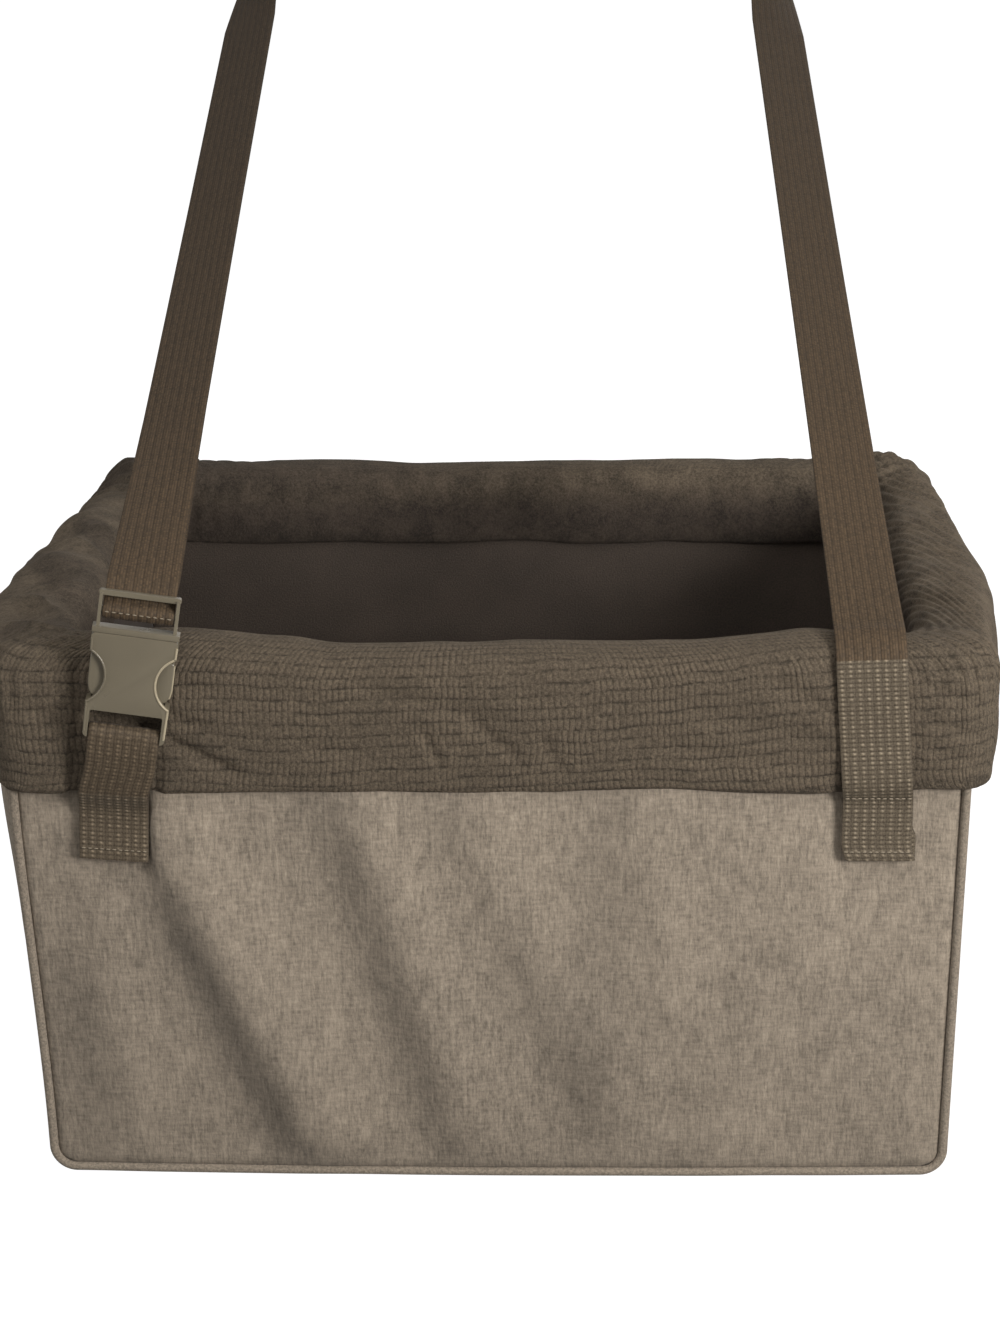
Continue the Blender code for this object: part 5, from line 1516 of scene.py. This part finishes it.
def flared(u, v):
    """A point of the socket's outline, moved out by its flare."""
    return u + math.copysign(SOCKET_FLARE * v / SOCKET_LENGTH, u), v


def moulded(name, form, changes, bevel, matrix):
    """A plastic piece: a form with others joined to it or cut from it, and its edges rounded."""
    def raw(label, made):
        data = bpy.data.meshes.new(label)
        made.to_mesh(data)
        made.free()
        return add_object(label, data)

    piece = raw(name, form)
    helpers = []
    for operation, other in changes:
        helpers.append(raw(f"{name}_helper", other))
        helpers[-1].matrix_world = matrix
        modifier = piece.modifiers.new(operation.title(), "BOOLEAN")
        modifier.operation = operation
        modifier.solver = "EXACT"
        modifier.object = helpers[-1]
    edges = piece.modifiers.new("Rounded edges", "BEVEL")
    edges.width = bevel
    edges.segments = 3
    edges.limit_method = "ANGLE"
    edges.angle_limit = math.radians(40)
    piece.matrix_world = matrix
    made = settle(piece)
    for helper in helpers:
        bpy.data.objects.remove(helper)
    dress(made.data, finish("buckle_plastic"), 38)
    return made


class BOOSTER_OT_buckle(bpy.types.Operator):
    """Makes the side-release buckle with its rounded moulded edges"""

    bl_idname = "booster.buckle"
    bl_label = "Buckle"

    def execute(self, context):
        matrix = buckle_matrix()
        place(self.socket(matrix), "basket", "buckle_plastic", "buckle_socket")
        place(self.plug(matrix), "plug", "buckle_plastic", "buckle_plug")
        for side, name in ((-1, "left"), (1, "right")):
            piece = self.prong(side, f"prong_{name}_moulded", matrix)
            place(piece, f"prong_{name}", "buckle_plastic", f"prong_{name}")
        # A pale lip along the right prong's edge, as a painted highlight
        line = [(PRONG_EDGE - inset, v) for inset, v in (
            (0.0008, 0.0205), (0.0004, 0.0222), (0.0001, 0.0245), (0.0001, 0.0300), (0.0001, 0.0352))]
        lip = self.lips("prong_right_lip", [line], 0.0020, PRONG_LIP, "buckle_edge", matrix)
        place(lip, "prong_right", "buckle_plastic")
        return {"FINISHED"}

    def lips(self, name, lines, n, radius, look, matrix):
        """Round lips along lines of (u, v) points at a distance n to the front."""
        paths = [[tuple(matrix @ Vector((u, v, n))) for u, v in line] for line in lines]
        return cord(name, paths, radius, 12, look)

    def bite(self, side):
        return side * (BUCKLE_HALF + BITE_SHIFT + BITE_RADIUS - BITE_DEPTH), BITE_CENTRE

    def socket(self, matrix):
        half_n = BUCKLE_HALF_THICK
        outline = [flared(u, v) for u, v in rounded_outline(BUCKLE_HALF, 0, SOCKET_LENGTH, 0.0022)]
        reach = WEBBING_HALF + 0.0004
        window = rounded_outline(reach, END_BAR, WINDOW_TOP, 0.0008)
        cavity_u, cavity_n = BUCKLE_HALF - THROAT_WALL, half_n - SHELL_WALL
        cavity = ((-cavity_u, CAVITY_FLOOR, -cavity_n), (cavity_u, SOCKET_LENGTH * 1.1, cavity_n))
        cuts = [outline_form(window, -2 * half_n, 2 * half_n), box_form(*cavity)]
        for side in (-1, 1):
            near, far = sorted((side * END_BAR / 2, side * 2 * half_n))
            cuts.append(box_form((-reach, -END_BAR, near), (reach, 2 * END_BAR, far)))
            cuts.append(outline_form(arc(self.bite(side), BITE_RADIUS, 0, 354, 59), -2 * half_n, 2 * half_n))
        changes = [("DIFFERENCE", cut) for cut in cuts]
        body = moulded("socket_moulded", outline_form(outline, -half_n, half_n), changes, SOCKET_BEVEL, matrix)
        # The right lips carry a painted highlight; the left ones are plain plastic
        for side, name, look in ((-1, "socket_left_lips", "buckle_plastic"),
                                 (1, "socket_right_lips", "buckle_edge")):
            middle = 180 if side > 0 else 0
            lines = [arc(self.bite(side), BITE_RADIUS + SOCKET_LIP, middle - 62, middle + 62, 40)]
            for low, high in ((0.0026, 0.0154), (0.0388, SOCKET_LENGTH - 0.0026)):
                lines.append([flared(side * (BUCKLE_HALF - 0.0005), v) for v in np.linspace(low, high, 12)])
            lips = self.lips(name, lines, half_n - 0.00008, SOCKET_LIP, look, matrix)
            place(lips, "basket", "buckle_plastic")
        return body

    def plug(self, matrix):
        half_u, half_n = BUCKLE_HALF, BUCKLE_HALF_THICK
        reach = half_u + SOCKET_FLARE
        form = box_form((-reach, PLUG_BASE_V, -PLUG_REAR), (reach, PLUG_BASE_TOP, half_n))
        joins = []
        for side in (-1, 1):
            inner, outer = sorted((side * (half_u - RAIL_WIDTH), side * (half_u - RAIL_INSET)))
            low = (inner, PLUG_BASE_TOP - 0.0011, -PLUG_REAR + 0.0002)
            joins.append(box_form(low, (outer, PLUG_END - CROSSBAR / 2, PLUG_REAR - 0.0002)))
        bar = rounded_outline(half_u, PLUG_END - CROSSBAR, PLUG_END, 0.0009)
        joins.append(outline_form(bar, -0.0015, 0.0015))
        reach = half_u - RAIL_WIDTH / 2
        joins.append(box_form((-reach, LADDER_BAR_AT - LADDER_HALF_V, -LADDER_HALF_N),
                              (reach, LADDER_BAR_AT + LADDER_HALF_V, LADDER_HALF_N)))
        guide = ((-0.0014, 0.020), (0.0014, 0.020), (0.0035, 0.0235), (0.0035, PLUG_BASE_V + 0.001),
                 (-0.0035, PLUG_BASE_V + 0.001), (-0.0035, 0.0235))
        joins.append(outline_form(guide, -0.0016, 0.0016))
        return moulded("plug_moulded", form, [("UNION", join) for join in joins], PLUG_BEVEL, matrix)

    def prong(self, side, name, matrix):
        arm = BUCKLE_HALF - THROAT_WALL - 0.0004
        outline = arc((arm - PRONG_ROOT_RADIUS, PRONG_ROOT_V), PRONG_ROOT_RADIUS, 0, 180, 12)
        outline += [(PRONG_EDGE - inset, v) for inset, v in (
            (0.00715, 0.0370), (0.00815, 0.0300), (0.00815, 0.0220), (0.00735, 0.0174), (0.00605, 0.0168),
            (0.00435, 0.0172), (0.0018, 0.0188), (0.0008, 0.0205), (0.0003, 0.0222), (0, 0.0245),
            (0, 0.0352), (0.0004, 0.0362))]
        form = outline_form([(side * u, v) for u, v in (*outline, (arm, 0.0365))], PRONG_REAR, PRONG_FRONT)
        return moulded(name, form, [], SOCKET_BEVEL, matrix)


class BOOSTER_OT_hidden_frame(bpy.types.Operator):
    """Finishes the tubes, connectors and base board that the cover hides"""

    bl_idname = "booster.hidden_frame"
    bl_label = "Hidden frame"

    def execute(self, context):
        kinds = {"connector": "connector_plastic", "post": "frame_plastic", "rail": "frame_plastic",
                 "base_board": "board_fibre"}
        for name, node in NODES.items():
            for start, material in kinds.items():
                if name.startswith(start):
                    node.data.materials.clear()
                    node.data.materials.append(finish(material))
        return {"FINISHED"}


# Stage

class BOOSTER_OT_stage(bpy.types.Operator):
    """Sets up the pale floor, the soft lights and the camera"""

    bl_idname = "booster.stage"
    bl_label = "Stage"

    def execute(self, context):
        settings = chosen("stage")
        self.floor()
        self.world(settings.sky)
        for name, where, power, size in (
                ("key", (1.12, -1.12, 0.62), settings.key * 0.95, settings.key_size),
                ("top", (0.15, -0.75, 1.70), settings.fill, 1.2),
                ("left", (-1.25, -0.75, 0.75), settings.fill * 0.55, 1.0),
                ("rear", (0.30, 1.70, 0.80), settings.fill * 0.5, 1.2)):
            self.light(name, where, power, size)
        self.camera()
        context.scene.view_settings.view_transform = "Standard"
        return {"FINISHED"}

    def floor(self):
        half, low = 9.0, -0.0004
        points = np.array([(-half, -half, low), (half, -half, low), (half, half, low), (-half, half, low)])
        plaster = Finish("pale_floor", Roughness=0.9)
        plaster.show((0.25, 0.25, 0.25, 1), bump=plaster.noise(plaster.around(60), 3), distance=0.0001)
        rays = plaster.node("LightPath")
        glow = plaster.node("Emission", {"Color": (1, 1, 1, 1), "Strength": rays * 0.97})
        both = plaster.node("AddShader", {0: Wire(plaster, plaster.shader.outputs[0]), 1: glow})
        plaster.feed(plaster.tree.nodes["Material Output"].inputs["Surface"], both)
        add_mesh("floor", points, np.array([[0, 1, 2, 3]]), plaster.material)

    def world(self, sky):
        """Even light of the sky's strength, behind a background that the camera sees at full strength."""
        world = bpy.data.worlds.new("soft_sky")
        bpy.context.scene.world = world
        world.use_nodes = True
        tree = world.node_tree
        ground = tree.nodes["Background"]
        ground.inputs["Color"].default_value = (1.0, 0.985, 0.965, 1)
        rays = tree.nodes.new("ShaderNodeLightPath")
        strength = tree.nodes.new("ShaderNodeMix")
        strength.inputs["A"].default_value = sky
        strength.inputs["B"].default_value = 1.0
        wire_up(tree, (rays, "Is Camera Ray", strength, "Factor"), (strength, "Result", ground, "Strength"))

    def light(self, name, where, power, size):
        """A square light that looks at the middle of the basket."""
        lamp = bpy.data.lights.new(name, "AREA")
        lamp.energy, lamp.size = power, size
        lamp.color = (1.0, 0.975, 0.94)
        thing = add_object(name, lamp)
        thing.location = where
        thing.rotation_euler = (Vector((0, 0, 0.15)) - Vector(where)).to_track_quat("-Z", "Y").to_euler()

    def camera(self):
        pitch, yaw, roll = (math.radians(degrees) for degrees in (18.48, -2.15, -0.67))
        focal_pixels, picture_pixels, sensor = 3332.5, 1333, 36
        ahead = Vector((math.sin(yaw) * math.cos(pitch), math.cos(yaw) * math.cos(pitch), -math.sin(pitch)))
        right = Vector((math.cos(yaw), -math.sin(yaw), 0))
        up = right.cross(ahead)
        right, up = right * math.cos(roll) + up * math.sin(roll), up * math.cos(roll) - right * math.sin(roll)
        lens = bpy.data.cameras.new("camera")
        lens.sensor_fit = "AUTO"
        lens.sensor_width = sensor
        lens.lens = focal_pixels / picture_pixels * sensor
        thing = add_object("camera", lens)
        thing.matrix_world = Matrix((right, up, -ahead)).transposed().to_4x4()
        thing.location = (0.0544, -1.4896, 0.6867)
        bpy.context.scene.camera = thing


# The add-on

OPERATORS = (
    BOOSTER_OT_cover,
    BOOSTER_OT_lining,
    BOOSTER_OT_collar,
    BOOSTER_OT_cushion,
    BOOSTER_OT_straps,
    BOOSTER_OT_stitches,
    BOOSTER_OT_buckle,
    BOOSTER_OT_hidden_frame,
    BOOSTER_OT_stage,
)
SETTINGS = {
    "booster_colours": BoosterColours,
    "booster_cover": BoosterCover,
    "booster_collar": BoosterCollar,
    "booster_webbing": BoosterWebbing,
    "booster_stage": BoosterStage,
}


class BOOSTER_PT_pieces(bpy.types.Panel):
    """Lists the seat's pieces and their settings"""

    bl_idname = "BOOSTER_PT_pieces"
    bl_label = "Booster seat"
    bl_space_type = "VIEW_3D"
    bl_region_type = "UI"
    bl_category = "Booster seat"

    def draw(self, context):
        for operator in OPERATORS:
            self.layout.operator(operator.bl_idname)
        for name, group in SETTINGS.items():
            box = self.layout.box()
            for key in group.__annotations__:
                box.prop(getattr(context.scene, name), key)


def register():
    for group in (*SETTINGS.values(), *OPERATORS, BOOSTER_PT_pieces):
        bpy.utils.register_class(group)
    for name, group in SETTINGS.items():
        setattr(bpy.types.Scene, name, PointerProperty(type=group))


def unregister():
    for name in SETTINGS:
        delattr(bpy.types.Scene, name)
    for group in reversed((*SETTINGS.values(), *OPERATORS, BOOSTER_PT_pieces)):
        bpy.utils.unregister_class(group)


def main():
    register()
    for operator in OPERATORS:
        group, name = operator.bl_idname.split(".")
        getattr(getattr(bpy.ops, group), name)()


if __name__ == "__main__":
    main()
